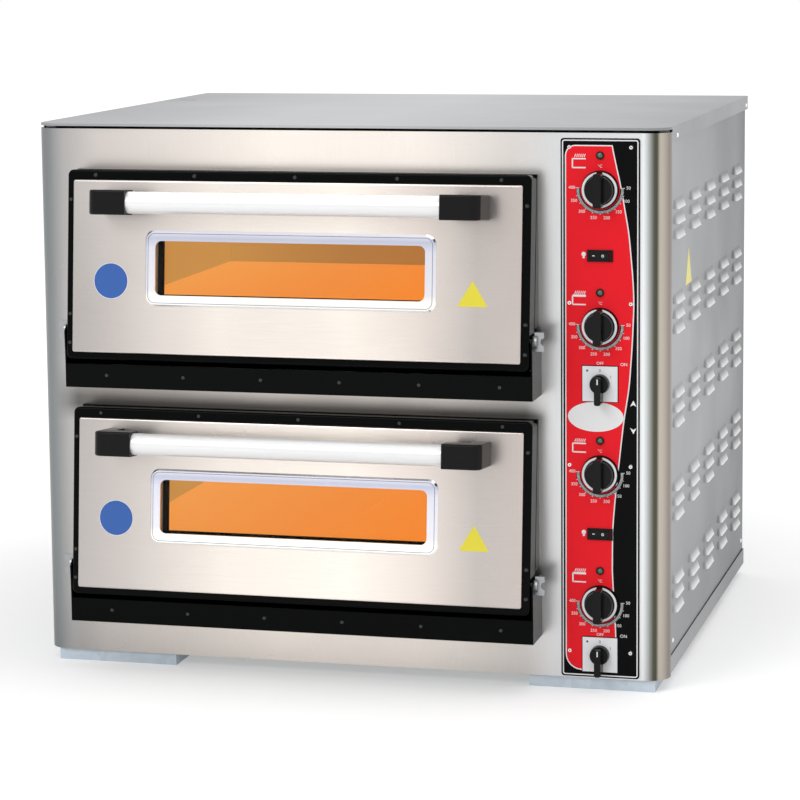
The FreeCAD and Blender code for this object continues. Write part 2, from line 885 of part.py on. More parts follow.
def make_chamber(deck):
    shell = chamber_shell(deck, "0")
    inside = box(
        (LEFT_WALL, RIGHT_WALL),
        (f"{CHAMBER_FRONT} - 1", f"{CHAMBER_BACK} - outer_sheet"),
        (at_deck(deck, CHAMBER_FLOOR), at_deck(deck, CEILING)),
    )
    along = (CHAMBER_FRONT, f"{CHAMBER_BACK} - outer_sheet")
    ledge_height = (at_deck(deck, f"{LEDGE_TOP} - ledge_sheet"), at_deck(deck, LEDGE_TOP))
    left_ledge = box((LEFT_WALL, f"{LEFT_WALL} + ledge_width"), along, ledge_height)
    right_ledge = box((f"{RIGHT_WALL} - ledge_width", RIGHT_WALL), along, ledge_height)
    bar = box(
        ("deck_middle - bar_width / 2", "deck_middle + bar_width / 2"),
        along,
        (at_deck(deck, f"{LEDGE_TOP} - bar_height"), at_deck(deck, LEDGE_TOP)),
    )
    front_wall = box(
        (LEFT_WALL, RIGHT_WALL),
        (CHAMBER_FRONT, f"{CHAMBER_FRONT} + outer_sheet"),
        (at_deck(deck, CHAMBER_FLOOR), at_deck(deck, LEDGE_TOP)),
    )
    hanger_x = (f"{LEFT_WALL} + hanger_offset", f"{LEFT_WALL} + hanger_offset + hanger_sheet")
    reach = "(element_spread / 2 + element_bend + element_radius + hanger_edge)"
    middle = f"({CHAMBER_FRONT} + chamber_depth / 2)"
    hanger_y = (f"{middle} - {reach}", f"{middle} + {reach}")
    high = f"({CEILING} - element_drop - element_radius - ledge_sheet)"
    low = f"({LEDGE_TOP} - element_drop + element_radius)"
    hanger = box(hanger_x, hanger_y, (at_deck(deck, high), at_deck(deck, CEILING)))
    stand = box(hanger_x, hanger_y, (at_deck(deck, CHAMBER_FLOOR), at_deck(deck, low)))
    rows = [row for row in ELEMENT_ROWS if row[0] == deck]
    hole_start = f"{hanger_x[0]} - 1"
    holes = element_legs(rows, "element_clearance", hole_start, f"{RIGHT_WALL} + element_tail")
    lamp_hole = cylinder(
        "y",
        lamp_place(deck, f"{CHAMBER_BACK} - outer_sheet - 1"),
        "chamber_lamp_radius + seat_gap",
        "outer_sheet + 2",
    )
    walls = cut(shell, inside)
    body = fuse(walls, left_ledge, right_ledge, bar, front_wall, hanger, stand)
    keep(cut(body, *holes, lamp_hole), f"{deck}_chamber")


def make_stones(deck):
    stones = []
    width = "((mouth_width - 3 * stone_gap) / 2)"
    for start in (f"{LEFT_WALL} + stone_gap", "deck_middle + stone_gap / 2"):
        slab = box(
            (start, f"{start} + {width}"),
            (f"{CHAMBER_FRONT} + stone_gap", f"{CHAMBER_BACK} - outer_sheet - stone_gap"),
            (at_deck(deck, LEDGE_TOP), at_deck(deck, "lip_height")),
        )
        stones.append(slab)
    keep(group(*stones), f"{deck}_baking_stones")


def make_insulation():
    block = box(
        (f"side_space - {SIDE_INNER}", f"{BAY_WALL} - seat_gap"),
        (BEHIND_TRAY, f"{CHAMBER_BACK} + insulation_cover"),
        (TRAY_FACE, at_deck("upper", f"{CEILING} + insulation_cover")),
    )
    tools = []
    for deck in DECKS:
        tools.append(chamber_shell(deck, "seat_gap"))
        start = lamp_place(deck, f"{CHAMBER_BACK} - 1")
        radius = "chamber_lamp_radius + seat_gap"
        tools.append(cylinder("y", start, radius, "chamber_lamp_depth + 1 + seat_gap"))
    tools += element_legs(ELEMENT_ROWS, "element_clearance", RIGHT_WALL, BAY_WALL)
    keep(cut(block, *tools), "insulation")


def make_bay_wall():
    plate = box(
        (BAY_WALL, f"{BAY_WALL} + outer_sheet"),
        (BEHIND_TRAY, f"{REAR_INNER} - seat_gap"),
        (TRAY_FACE, f"{PANEL_TOP} - outer_sheet - seat_gap"),
    )
    through = (f"{BAY_WALL} - 1", f"{BAY_WALL} + outer_sheet + 1")
    holes = element_legs(ELEMENT_ROWS, "element_clearance", *through)
    keep(cut(plate, *holes), "bay_wall")


def make_chamber_lamps():
    lamps = []
    for deck in DECKS:
        wall = f"({CHAMBER_BACK} - outer_sheet)"
        holder = cylinder("y", lamp_place(deck, wall), "chamber_lamp_radius", "chamber_lamp_depth")
        glass = cone(
            "y",
            lamp_place(deck, f"{wall} - chamber_lamp_reach"),
            "chamber_lamp_tip",
            "chamber_lamp_radius",
            "chamber_lamp_reach",
        )
        lamps.append(fuse(holder, glass))
    keep(group(*lamps), "chamber_lamps")


# Mouths, sills and hinges

def frame_reach(height, back="0"):
    """How far a mouth frame stands out at a height above the hinge, parallel to the closed door."""
    seat = f"(hinge_inset + door_gap + {back}) / cos(door_lean)"
    return f"(hinge_forward - {seat} - ({height}) * tan(door_lean))"


def frame_wedge(deck, inset, start, across):
    low = f"(frame_bottom + {inset})"
    high = f"(frame_top - {inset})"
    outline = [
        (start, at_deck(deck, low)),
        (forward(frame_reach(low, inset)), at_deck(deck, low)),
        (forward(frame_reach(high, inset)), at_deck(deck, high)),
        (start, at_deck(deck, high)),
    ]
    return prism("YZ_Plane", outline, across[0], across[1])


def make_mouth_frame(deck):
    across = (f"deck_middle - {DOOR_HALF}", f"deck_middle + {DOOR_HALF}")
    outer = frame_wedge(deck, "0", FRONT, across)
    through = (forward("hinge_forward"), f"{FRONT} + 1")
    opening = mouth_block(deck, "0", through)
    inner = frame_wedge(deck, "frame_sheet", f"{FRONT} + 1", widened(across, "(-frame_sheet)"))
    lining = mouth_block(deck, "frame_sheet", through)
    keep(cut(outer, opening, cut(inner, lining)), f"{deck}_mouth_frame")


def gasket_level(height):
    """A level on the gasket's plane, measured along the leaning door."""
    return f"(({height} + (hinge_inset + door_gap) * sin(door_lean)) / cos(door_lean))"


def make_mouth_gaskets():
    rings = []
    for deck in DECKS:
        low = gasket_level("(frame_bottom + stone_gap / 2)")
        high = gasket_level(f"({CEILING} + stone_gap + gasket_width)")
        y_range = ("hinge_inset + seat_gap", "hinge_inset + door_gap")
        outer_half = "mouth_width / 2 + stone_gap + gasket_width"
        outer = box(both_sides(outer_half), y_range, (low, high))
        inner = box(
            both_sides(f"{outer_half} - gasket_width"),
            widened(y_range, "1"),
            (f"{low} + gasket_width", f"{high} - gasket_width"),
        )
        rings.append(lean(cut(outer, inner), deck))
    keep(group(*rings), "mouth_gaskets")


def make_sill(deck):
    """Fold the trough under a door, with a cheek at each end that carries the hinge bolt."""
    low = at_deck(deck, "(0 - sill_bottom)")
    high = at_deck(deck, "(0 - sill_top)")
    front = forward("sill_forward")
    profile = [
        (FRONT, high),
        (FRONT, low),
        (front, low),
        (front, high),
        (f"{front} + sill_return", high),
        (f"{front} + sill_return", f"{high} - sill_sheet"),
        (f"{front} + sill_sheet", f"{high} - sill_sheet"),
        (f"{front} + sill_sheet", f"{low} + sill_sheet"),
        (f"{FRONT} - sill_sheet", f"{low} + sill_sheet"),
        (f"{FRONT} - sill_sheet", high),
    ]
    inner_half = f"({DOOR_HALF} + cheek_gap)"
    ends = (f"deck_middle - {inner_half}", f"deck_middle + {inner_half}")
    pieces = [prism("YZ_Plane", profile, *ends)]
    cheek = [
        (FRONT, low),
        (front, low),
        (front, high),
        (forward("cheek_forward"), at_deck(deck, "0")),
        (forward("(cheek_forward - cheek_top)"), at_deck(deck, "cheek_top")),
        (FRONT, at_deck(deck, "cheek_top")),
    ]
    holes = []
    for side in (1, -1):
        across = in_deck(inner_half, f"({inner_half} + cheek_sheet)", side)
        pieces.append(prism("YZ_Plane", cheek, across[0], across[1]))
        start = (f"{across[0]} - 1", forward("hinge_forward"), at_deck(deck, "0"))
        holes.append(cylinder("x", start, "bolt_radius + screw_clearance", "cheek_sheet + 2"))
    for index in range(SILL_SCREWS):
        start = (sill_screw_place(index), f"{front} - 1", at_deck(deck, "(0 - sill_screw_level)"))
        holes.append(cylinder("y", start, "screw_shank + screw_clearance", "sill_sheet + 2"))
    keep(cut(fuse(*pieces), *holes), f"{deck}_sill")


def sill_screw_place(index):
    return f"(deck_middle + sill_screw_offset + {index - (SILL_SCREWS - 1) / 2} * sill_screw_pitch)"


def make_hinge_bolts():
    bolts = []
    outside = f"({DOOR_HALF} + cheek_gap + cheek_sheet)"
    tip = f"({DOOR_HALF} - bush_length)"
    for deck in DECKS:
        level = at_deck(deck, "0")
        y_axis = forward("hinge_forward")
        for side in (1, -1):
            shank = in_deck(tip, outside, side)
            shank_length = f"({shank[1]}) - ({shank[0]})"
            flange = in_deck(outside, f"({outside} + bolt_flange_height)", side)
            wing = in_deck(outside, f"({outside} + wing_height)", side)
            y_range = (f"{y_axis} - wing_sheet / 2", f"{y_axis} + wing_sheet / 2")
            z_range = (f"{level} - wing_span / 2", f"{level} + wing_span / 2")
            lobes = cut(
                box(wing, y_range, z_range),
                cylinder(
                    "y",
                    (wing[1] if side > 0 else wing[0], f"{y_axis} - wing_sheet", level),
                    "wing_notch",
                    "wing_sheet * 2",
                ),
            )
            bolts.append(
                fuse(
                    cylinder("x", (shank[0], y_axis, level), "bolt_radius", shank_length),
                    cylinder("x", (flange[0], y_axis, level), "bolt_flange", "bolt_flange_height"),
                    lobes,
                )
            )
    keep(group(*bolts), "hinge_bolts")


# Doors, made upright in their own frame and then leaned back on their hinges

def top_screw_places():
    return [(f"{index} * top_screw_pitch", "top_screw_level") for index in range(-2, 3)]


def side_screw_places():
    places = []
    for side in ("-", "+"):
        for level in ("side_screw_high", "side_screw_middle", "side_screw_low"):
            places.append((f"(0 {side} side_screw_spread)", level))
    return places


DOOR_SCREWS = top_screw_places() + side_screw_places()


def make_screw(across, face, level, length="screw_length"):
    """One pan-head screw driven towards +Y into a face."""
    shank = cylinder("y", (across, face, level), "screw_shank", length)
    head_start = (across, f"{face} - screw_height", level)
    head = cone("y", head_start, "screw_radius - screw_taper", "screw_radius", "screw_height")
    return fuse(shank, head)


def pressed_block(across, along, height, corner):
    """A block as thick as a door is deep, with its four corners rounded."""
    body = doc.addObject("PartDesign::Body", "Block")
    sketch = body_sketch(body, "XZ_Plane", f"-({along[1]})")
    draw_rectangle(sketch, across, height)
    pad(body, sketch, f"({along[1]}) - ({along[0]})")
    round_edges(body, ALONG_Y, lambda middle: True, corner)
    return body


def make_door_casing(deck):
    """Press the enamelled casing: a box open at the front, with a border for the skin to sit on."""
    across = both_sides(DOOR_HALF)
    along = (DOOR_FACE, "hinge_inset")
    height = ("-door_below", "door_above")
    shell = pressed_block(across, along, height, "casing_corner")
    dress_rim(shell, "PartDesign::Fillet", measured(DOOR_FACE), Radius="casing_rim")
    hollow = pressed_block(
        widened(across, "(-casing_sheet)"),
        (f"{DOOR_FACE} + casing_sheet", "hinge_inset - casing_sheet"),
        widened(height, "(-casing_sheet)"),
        "casing_corner - casing_sheet",
    )
    landing = box(
        both_sides(f"{SKIN_HALF} - skin_landing"),
        (f"{DOOR_FACE} - 1", f"{DOOR_FACE} + casing_sheet + 1"),
        ("skin_landing - skin_lower", "skin_upper - skin_landing"),
    )
    window = box(WINDOW_X, ("hinge_inset - casing_sheet - 1", "hinge_inset + 1"), WINDOW_Z)
    casing = cut(shell, hollow, landing, window)
    bushes = []
    bores = []
    for side in (1, -1):
        inner = f"({DOOR_HALF} - bush_length)"
        start = (inner if side > 0 else f"-{DOOR_HALF}", "0", "0")
        bushes.append(cylinder("x", start, "bush_radius", "bush_length"))
        bore_start = (f"{inner} - 1" if side > 0 else f"-{DOOR_HALF} - 1", "0", "0")
        bores.append(cylinder("x", bore_start, "bolt_radius + bolt_clearance", "bush_length + 2"))
    for across, level in DOOR_SCREWS:
        start = (across, f"{DOOR_FACE} - 1", level)
        bores.append(cylinder("y", start, "screw_shank + screw_clearance", "casing_sheet + 2"))
    keep(lean(cut(fuse(casing, *bushes), *bores), deck), f"{deck}_door_casing")


def make_door_screws(deck):
    screws = [make_screw(across, DOOR_FACE, level) for across, level in DOOR_SCREWS]
    keep(lean(group(*screws), deck), f"{deck}_door_screws")


def make_door_skin(deck):
    body = doc.addObject("PartDesign::Body", "DoorSkin")
    sketch = body_sketch(body, "XZ_Plane", f"-{DOOR_FACE}")
    height = ("-skin_lower", "skin_upper")
    draw_rectangle(sketch, both_sides(SKIN_HALF), height)
    pad(body, sketch, "skin_proud")
    round_edges(body, ALONG_Y, lambda middle: True, "skin_radius")
    dress_rim(body, "PartDesign::Fillet", measured(SKIN_FACE), Radius="skin_rim")
    sketch = body_sketch(body, "XZ_Plane", f"-({DOOR_FACE} + 1)")
    draw_rectangle(sketch, both_sides(f"{SKIN_HALF} - outer_sheet"), widened(height, "(-outer_sheet)"))
    pocket(body, sketch, "1 + skin_proud - outer_sheet", reverse=True)
    sketch = body_sketch(body, "XZ_Plane", f"-({SKIN_FACE} - 1)")
    draw_rectangle(sketch, WINDOW_X, WINDOW_Z)
    pocket(body, sketch, "skin_proud + 2")
    keep(lean(body, deck), f"{deck}_door_skin")


def make_door_insulation(deck):
    height = ("-door_below", "door_above")
    inset = "(-(casing_sheet + seat_gap))"
    block = pressed_block(
        widened(both_sides(DOOR_HALF), inset),
        (f"{DOOR_FACE} + casing_sheet + seat_gap", "hinge_inset - casing_sheet - seat_gap"),
        widened(height, inset),
        "casing_corner - casing_sheet",
    )
    margin = "(glass_margin + seat_gap)"
    tunnel = box(widened(WINDOW_X, margin), (DOOR_FACE, "hinge_inset"), widened(WINDOW_Z, margin))
    notches = []
    for side in (1, -1):
        depth = "(bush_length + seat_gap)"
        start = (f"{DOOR_HALF} - {depth}" if side > 0 else f"-{DOOR_HALF}", "0", "0")
        notches.append(cylinder("x", start, "bush_radius + seat_gap", depth))
    for across, level in DOOR_SCREWS:
        start = (across, DOOR_FACE, level)
        notches.append(cylinder("y", start, "screw_shank + seat_gap", "screw_length + seat_gap"))
    keep(lean(cut(block, tunnel, *notches), deck), f"{deck}_door_insulation")


def make_window_trim(deck):
    """Press the raised frame round a window."""
    body = doc.addObject("PartDesign::Body", "WindowTrim")
    sketch = body_sketch(body, "XZ_Plane", f"-{SKIN_FACE}")
    draw_rectangle(sketch, widened(WINDOW_X, "trim_border"), widened(WINDOW_Z, "trim_border"))
    pad(body, sketch, "trim_proud")
    round_edges(body, ALONG_Y, lambda middle: True, "trim_corner")
    dress_rim(body, "PartDesign::Chamfer", measured(TRIM_FACE), Size="trim_edge")
    sketch = body_sketch(body, "XZ_Plane", f"-({TRIM_FACE} - 1)")
    draw_rectangle(sketch, WINDOW_X, WINDOW_Z)
    pocket(body, sketch, "trim_proud + 2")
    half = size("window_width") / 2
    shift = size("window_offset")
    round_edges(body, ALONG_Y, lambda middle: near(abs(middle.x - shift), half), "window_radius")
    keep(lean(body, deck), f"{deck}_window_trim")


def make_window_glass(deck):
    width = widened(WINDOW_X, "glass_margin")
    height = widened(WINDOW_Z, "glass_margin")
    outer = f"({SKIN_FACE} + outer_sheet + seat_gap)"
    inner = "(hinge_inset - casing_sheet - seat_gap)"
    outer_pane = box(width, (outer, f"{outer} + glass_thickness"), height)
    inner_pane = box(width, (f"{inner} - glass_thickness", inner), height)
    keep(lean(group(outer_pane, inner_pane), deck), f"{deck}_window_glass")


TUBE_MIDDLE = f"({SKIN_FACE} - handle_standoff)"


def make_handle_tube(deck):
    start = "(tube_end_gap - bracket_half_span + bracket_arm)"
    length = f"(-2 * {start})"
    wall = cylinder("x", (start, TUBE_MIDDLE, "handle_level"), "tube_radius", length)
    bore_start = (f"{start} - 1", TUBE_MIDDLE, "handle_level")
    bore = cylinder("x", bore_start, "tube_radius - tube_wall", f"{length} + 2")
    keep(lean(cut(wall, bore), deck), f"{deck}_handle_tube")


def make_handle_brackets(deck):
    """Mould the two elbows: a sleeve over the tube's end and an arm back to the door."""
    body = doc.addObject("PartDesign::Body", "Bracket")
    sketch = body_sketch(body, "XY_Plane", "handle_level - bracket_half_height")
    front = f"({TUBE_MIDDLE} - bracket_half_height)"
    back = f"({TUBE_MIDDLE} + bracket_half_height)"
    outline = [
        ("bracket_half_span", SKIN_FACE),
        ("bracket_half_span - bracket_arm", SKIN_FACE),
        ("bracket_half_span - bracket_arm", back),
        ("bracket_half_span - bracket_length", back),
        ("bracket_half_span - bracket_length", front),
        ("bracket_half_span", front),
    ]
    draw(sketch, outline)
    pad(body, sketch, "bracket_half_height * 2")
    span = size("bracket_half_span")
    skin = size("hinge_inset") - size("door_thickness") - size("skin_proud")
    round_edges(
        body,
        ALONG_Z,
        lambda middle: near(middle.x, span) and middle.y < skin - 1,
        "bracket_corner",
    )
    round_edges(
        body,
        ALONG_X,
        lambda middle: middle.x < span and middle.y < skin - 1,
        "bracket_rounding",
    )
    bore = cylinder(
        "x",
        ("bracket_half_span - bracket_length - 1", TUBE_MIDDLE, "handle_level"),
        "tube_radius + tube_grip",
        "bracket_length - bracket_arm + 1",
    )
    right = cut(body, bore)
    left = doc.addObject("Part::Mirroring", "Mirror")
    left.Source = right
    left.Normal = ALONG_X
    keep(lean(group(right, left), deck), f"{deck}_handle_brackets")


# Controls, each carried by the fascia at the right

FASCIA_FACE = f"({FRONT} - fascia_sheet)"


def make_control_fascia():
    body = doc.addObject("PartDesign::Body", "Fascia")
    sketch = body_sketch(body, "XZ_Plane", f"-{FRONT}")
    half = "fascia_width / 2"
    draw_rectangle(
        sketch,
        (f"fascia_middle - {half}", f"fascia_middle + {half}"),
        (f"{FLOOR} + fascia_low", f"{FLOOR} + fascia_high"),
    )
    pad(body, sketch, "fascia_sheet")
    round_edges(body, ALONG_Y, lambda middle: True, "fascia_radius")
    keep(cut(body, CONTROL_HOLES), "control_fascia")


def make_fascia_screws():
    length = "fascia_sheet + outer_sheet + 1"
    screws = [make_screw(across, FASCIA_FACE, level, length) for across, level in FASCIA_SCREWS]
    keep(group(*screws), "fascia_screws")


def make_sill_screws():
    screws = []
    for deck in DECKS:
        for index in range(SILL_SCREWS):
            level = at_deck(deck, "(0 - sill_screw_level)")
            screws.append(make_screw(sill_screw_place(index), forward("sill_forward"), level))
    keep(group(*screws), "sill_screws")


def control_body(level, width, height, depth):
    """A switch body behind the panel, with its neck in the panel's hole and a spindle in front."""
    start = BEHIND_TRAY
    block = box(
        (f"fascia_middle - {width} / 2", f"fascia_middle + {width} / 2"),
        (start, f"{start} + {depth}"),
        (f"{level} - {height} / 2", f"{level} + {height} / 2"),
    )
    neck_start = ("fascia_middle", FASCIA_FACE, level)
    neck = cylinder("y", neck_start, "neck_radius", f"{start} - {FASCIA_FACE}")
    tip = f"({FASCIA_FACE} - spindle_length)"
    spindle = cylinder("y", ("fascia_middle", tip, level), "spindle_radius", "spindle_length")
    return fuse(block, neck, spindle)


def make_switch_bodies():
    thermostats = []
    for level in KNOB_LEVELS:
        size_of_body = ("thermostat_width", "thermostat_height", "thermostat_depth")
        thermostats.append(control_body(level, *size_of_body))
    keep(group(*thermostats), "thermostats")
    switches = []
    for level in SELECTOR_LEVELS:
        switches.append(control_body(level, "selector_body", "selector_body", "selector_depth"))
    keep(group(*switches), "selector_switches")


def make_selector_plates():
    plates = []
    half = "selector_size / 2"
    for level in SELECTOR_LEVELS:
        plate = box(
            (f"fascia_middle - {half}", f"fascia_middle + {half}"),
            (f"{FASCIA_FACE} - selector_sheet", FASCIA_FACE),
            (f"{level} - {half}", f"{level} + {half}"),
        )
        start = ("fascia_middle", f"{FASCIA_FACE} - selector_sheet - 1", level)
        hole = cylinder("y", start, "neck_radius + neck_clearance", "selector_sheet + 2")
        plates.append(cut(plate, hole))
    keep(group(*plates), "selector_plates")


def make_knob(label, level, outline, grip, face, edge_test):
    """Turn a knob's skirt, stand its grip on it and bore it for the spindle."""
    body = doc.addObject("PartDesign::Body", "Knob")
    sketch = body_sketch(body, "YZ_Plane")
    draw(sketch, outline)
    revolve(body, sketch)
    across, up, height = grip
    sketch = body_sketch(body, "XZ_Plane", "knob_gap")
    draw_rectangle(sketch, across, up)
    pad(body, sketch, f"{height} - knob_gap")
    round_edges(body, ALONG_Y, edge_test, "knob_edge * 2")
    sketch = body_sketch(body, "XZ_Plane")
    draw_circle(sketch, "0", "0", "spindle_radius + spindle_clearance")
    pocket(body, sketch, "spindle_length + knob_edge", reverse=True)
    place(body, "fascia_middle", face, level)
    keep(body, label)


def make_knobs():
    skirt = "(knob_gap + knob_skirt)"
    crown = "(knob_gap + knob_body_height)"
    outline = [
        ("-knob_gap", "0"),
        ("-knob_gap", "knob_radius"),
        (f"-{skirt}", "knob_radius - knob_draft"),
        (f"-{skirt}", "knob_body_radius"),
        (f"-{crown}", "knob_body_radius - knob_draft"),
        (f"-{crown}", "0"),
    ]
    half = "knob_grip_width / 2"
    reach = "(knob_radius - knob_draft * 2)"
    grip = ((f"-{half}", half), (f"-{reach}", reach), "knob_grip_height")
    limit = size("knob_radius") / 2
    for letter, level in zip("abcd", KNOB_LEVELS):
        names = {"a": "upper_top", "b": "upper_bottom", "c": "lower_top", "d": "lower_bottom"}
        make_knob(
            f"{names[letter]}_heat_knob",
            level,
            outline,
            grip,
            FASCIA_FACE,
            lambda middle: abs(middle.z) > limit,
        )
    disc = "(knob_gap + selector_disc)"
    outline = [
        ("-knob_gap", "0"),
        ("-knob_gap", "selector_radius"),
        (f"-{disc}", "selector_radius - knob_draft / 2"),
        (f"-{disc}", "0"),
    ]
    half = "selector_grip_width / 2"
    grip = ((f"-{half}", half), ("-selector_tail", "selector_nose"), "selector_height")
    limit = size("selector_radius") / 2
    for deck, level in zip(("upper", "lower"), SELECTOR_LEVELS):
        make_knob(
            f"{deck}_selector_knob",
            level,
            outline,
            grip,
            f"{FASCIA_FACE} - selector_sheet",
            lambda middle: abs(middle.z) > limit,
        )


def make_indicator_lamps():
    lamps = []
    for level in KNOB_LEVELS:
        height = f"({level} + lamp_lift)"
        bezel_face = f"({FASCIA_FACE} - lamp_bezel_height)"
        barrel_start = ("fascia_middle", FASCIA_FACE, height)
        barrel = cylinder("y", barrel_start, "lamp_body_radius", "lamp_body_depth")
        bezel_start = ("fascia_middle", bezel_face, height)
        bezel = cylinder("y", bezel_start, "lamp_bezel_radius", "lamp_bezel_height")
        dome = doc.addObject("Part::Sphere", "Dome")
        bind(dome, Radius="lamp_dome_radius")
        place(dome, "fascia_middle", f"{bezel_face} + lamp_dome_radius / 3", height)
        lamps.append(fuse(barrel, bezel, dome))
    keep(group(*lamps), "indicator_lamps")


def make_rockers():
    frames = []
    half_height = "(rocker_height / 2 - rocker_rim - rocker_wall - seat_gap)"
    pin_half = f"({half_height} + seat_gap + rocker_pin_reach)"
    for deck, level in zip(("upper", "lower"), ROCKER_LEVELS):
        x_range = ("fascia_middle - rocker_width / 2", "fascia_middle + rocker_width / 2")
        z_range = (f"{level} - rocker_height / 2", f"{level} + rocker_height / 2")
        bezel = box(x_range, (f"{FASCIA_FACE} - rocker_proud", FASCIA_FACE), z_range)
        housing = box(
            widened(x_range, "(-rocker_rim)"),
            (FASCIA_FACE, f"{FASCIA_FACE} + rocker_depth"),
            widened(z_range, "(-rocker_rim)"),
        )
        well = box(
            widened(x_range, "(-(rocker_rim + rocker_wall))"),
            (f"{FASCIA_FACE} - rocker_proud - 1", f"{FASCIA_FACE} + rocker_well"),
            widened(z_range, "(-(rocker_rim + rocker_wall))"),
        )
        pin_seat = cylinder(
            "z",
            ("fascia_middle", FASCIA_FACE, f"{level} - {pin_half} - rocker_pin_clearance"),
            "rocker_pin + rocker_pin_clearance",
            f"2 * ({pin_half} + rocker_pin_clearance)",
        )
        frames.append(cut(fuse(bezel, housing), well, pin_seat))
        half = "(rocker_width / 2 - rocker_rim - rocker_wall - rocker_play)"
        foot = f"({half} / 2)"
        outline = [
            (f"-{half}", "-rocker_rise"),
            ("0", "-rocker_waist"),
            (half, "-rocker_rise"),
            (half, "-rocker_wall"),
            (foot, "rocker_well / 2"),
            (f"-{foot}", "rocker_well / 2"),
            (f"-{half}", "-rocker_wall"),
        ]
        rocker = prism("XY_Plane", outline, f"-{half_height}", half_height)
        pin = cylinder("z", ("0", "0", f"-{pin_half}"), "rocker_pin", f"2 * {pin_half}")
        key = group(fuse(rocker, pin))
        key.Placement.Rotation = FreeCAD.Rotation(-ALONG_Z, size("rocker_tilt"))
        key.setExpression("Placement.Rotation.Angle", formula("rocker_tilt"))
        place(key, "fascia_middle", FASCIA_FACE, level)
        keep(key, f"{deck}_rocker")
    keep(group(*frames), "rocker_frames")


def make_terminals():
    low = f"({FLOOR} + gland_level)"
    middle = "gland_offset"
    block = box(
        (f"{middle} - terminal_width / 2", f"{middle} + terminal_width / 2"),
        (f"{REAR_INNER} - seat_gap - terminal_depth", f"{REAR_INNER} - seat_gap"),
        (f"{low} + terminal_lift", f"{low} + terminal_lift + terminal_height"),
    )
    slots = []
    for index in range(-2, 3):
        centre = f"({middle} + {index} * terminal_pitch)"
        slots.append(
            box(
                (f"{centre} - terminal_slot / 2", f"{centre} + terminal_slot / 2"),
                (f"{REAR_INNER} - terminal_depth - 1", f"{REAR_INNER} - terminal_depth / 2"),
                (
                    f"{low} + terminal_lift + terminal_floor",
                    f"{low} + terminal_lift + terminal_height + 1",
                ),
            )
        )
    keep(cut(block, *slots), "terminal_block")


def make_cable_gland():
    level = f"({FLOOR} + gland_level)"
    nut = doc.addObject("Part::Prism", "Nut")
    nut.Polygon = 6
    nut.Placement.Rotation = TURNS["y"]
    bind(nut, Circumradius="gland_corner", Height="gland_nut")
    place(nut, "gland_offset", REAR_FACE, level)
    dome_start = ("gland_offset", f"{REAR_FACE} + gland_nut", level)
    dome = cone("y", dome_start, "gland_radius", "gland_tip", "gland_dome")
    inside = f"({REAR_INNER} - gland_nut)"
    thread = cylinder("y", ("gland_offset", inside, level), "gland_thread", "2 * gland_nut")
    locknut = cylinder("y", ("gland_offset", inside, level), "gland_radius", "gland_nut")
    bore_start = ("gland_offset", f"{inside} - 1", level)
    bore = cylinder("y", bore_start, "gland_bore", "4 * gland_nut + gland_dome")
    keep(cut(fuse(nut, dome, thread, locknut), bore), "cable_gland")


make_top_cover()
make_base_tray()
make_front_panel()
make_side_panels()
make_rear_panel()
make_case_screws()
make_feet()
make_insulation()
make_bay_wall()
make_chamber_lamps()
make_mouth_gaskets()
make_hinge_bolts()
make_control_fascia()
make_fascia_screws()
make_sill_screws()
make_switch_bodies()
make_selector_plates()
make_knobs()
make_indicator_lamps()
make_rockers()
make_terminals()
make_cable_gland()
for deck in DECKS:
    make_chamber(deck)
    make_elements(deck)
    make_stones(deck)
    make_mouth_frame(deck)
    make_sill(deck)
    make_door_casing(deck)
    make_door_skin(deck)
    make_door_insulation(deck)
    make_window_trim(deck)
    make_window_glass(deck)
    make_handle_tube(deck)
    make_handle_brackets(deck)
    make_door_screws(deck)

doc.recompute()
failed = [item.Name for item in doc.Objects if "Invalid" in item.State or "Error" in item.State]
unsound = [item.Label for item in SUBPARTS if item.Shape.isNull() or not item.Shape.isValid()]
if failed or unsound:
    raise RuntimeError(f"failed features: {failed}, unsound sub-parts: {unsound}")

os.makedirs("parts", exist_ok=True)
for item in SUBPARTS:
    item.Shape.exportStep(f"parts/{item.Label}.step")
    print(item.Label, len(item.Shape.Solids), round(item.Shape.Volume))
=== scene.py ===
"""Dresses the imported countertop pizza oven: its finishes, printed fascia, dials, stickers and studio."""

import json
import math

import bmesh
import bpy
from bpy.props import FloatProperty, FloatVectorProperty, IntProperty, PointerProperty
from mathutils import Matrix, Vector


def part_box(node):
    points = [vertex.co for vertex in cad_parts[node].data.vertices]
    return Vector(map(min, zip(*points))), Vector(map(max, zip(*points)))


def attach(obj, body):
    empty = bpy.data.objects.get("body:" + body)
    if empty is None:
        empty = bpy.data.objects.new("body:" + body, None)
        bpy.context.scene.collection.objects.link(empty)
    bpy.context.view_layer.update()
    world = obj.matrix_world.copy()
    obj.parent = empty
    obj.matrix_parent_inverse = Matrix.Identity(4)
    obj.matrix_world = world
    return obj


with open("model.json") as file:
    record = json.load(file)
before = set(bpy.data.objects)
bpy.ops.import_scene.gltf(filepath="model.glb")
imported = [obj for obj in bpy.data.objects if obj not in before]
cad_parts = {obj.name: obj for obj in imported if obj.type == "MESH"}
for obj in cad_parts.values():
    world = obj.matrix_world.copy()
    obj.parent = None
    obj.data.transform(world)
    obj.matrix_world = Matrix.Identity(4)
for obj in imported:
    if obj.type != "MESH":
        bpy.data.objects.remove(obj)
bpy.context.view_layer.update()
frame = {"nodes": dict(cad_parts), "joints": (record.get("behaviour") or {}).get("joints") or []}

bl_info = {
    "name": "Countertop Pizza Oven",
    "version": (1, 0, 0),
    "blender": (4, 5, 0),
    "location": "3D View > Sidebar > Pizza Oven",
    "description": "Finishes, printed fascia, dials and studio for a two-deck pizza oven",
    "category": "Object",
}

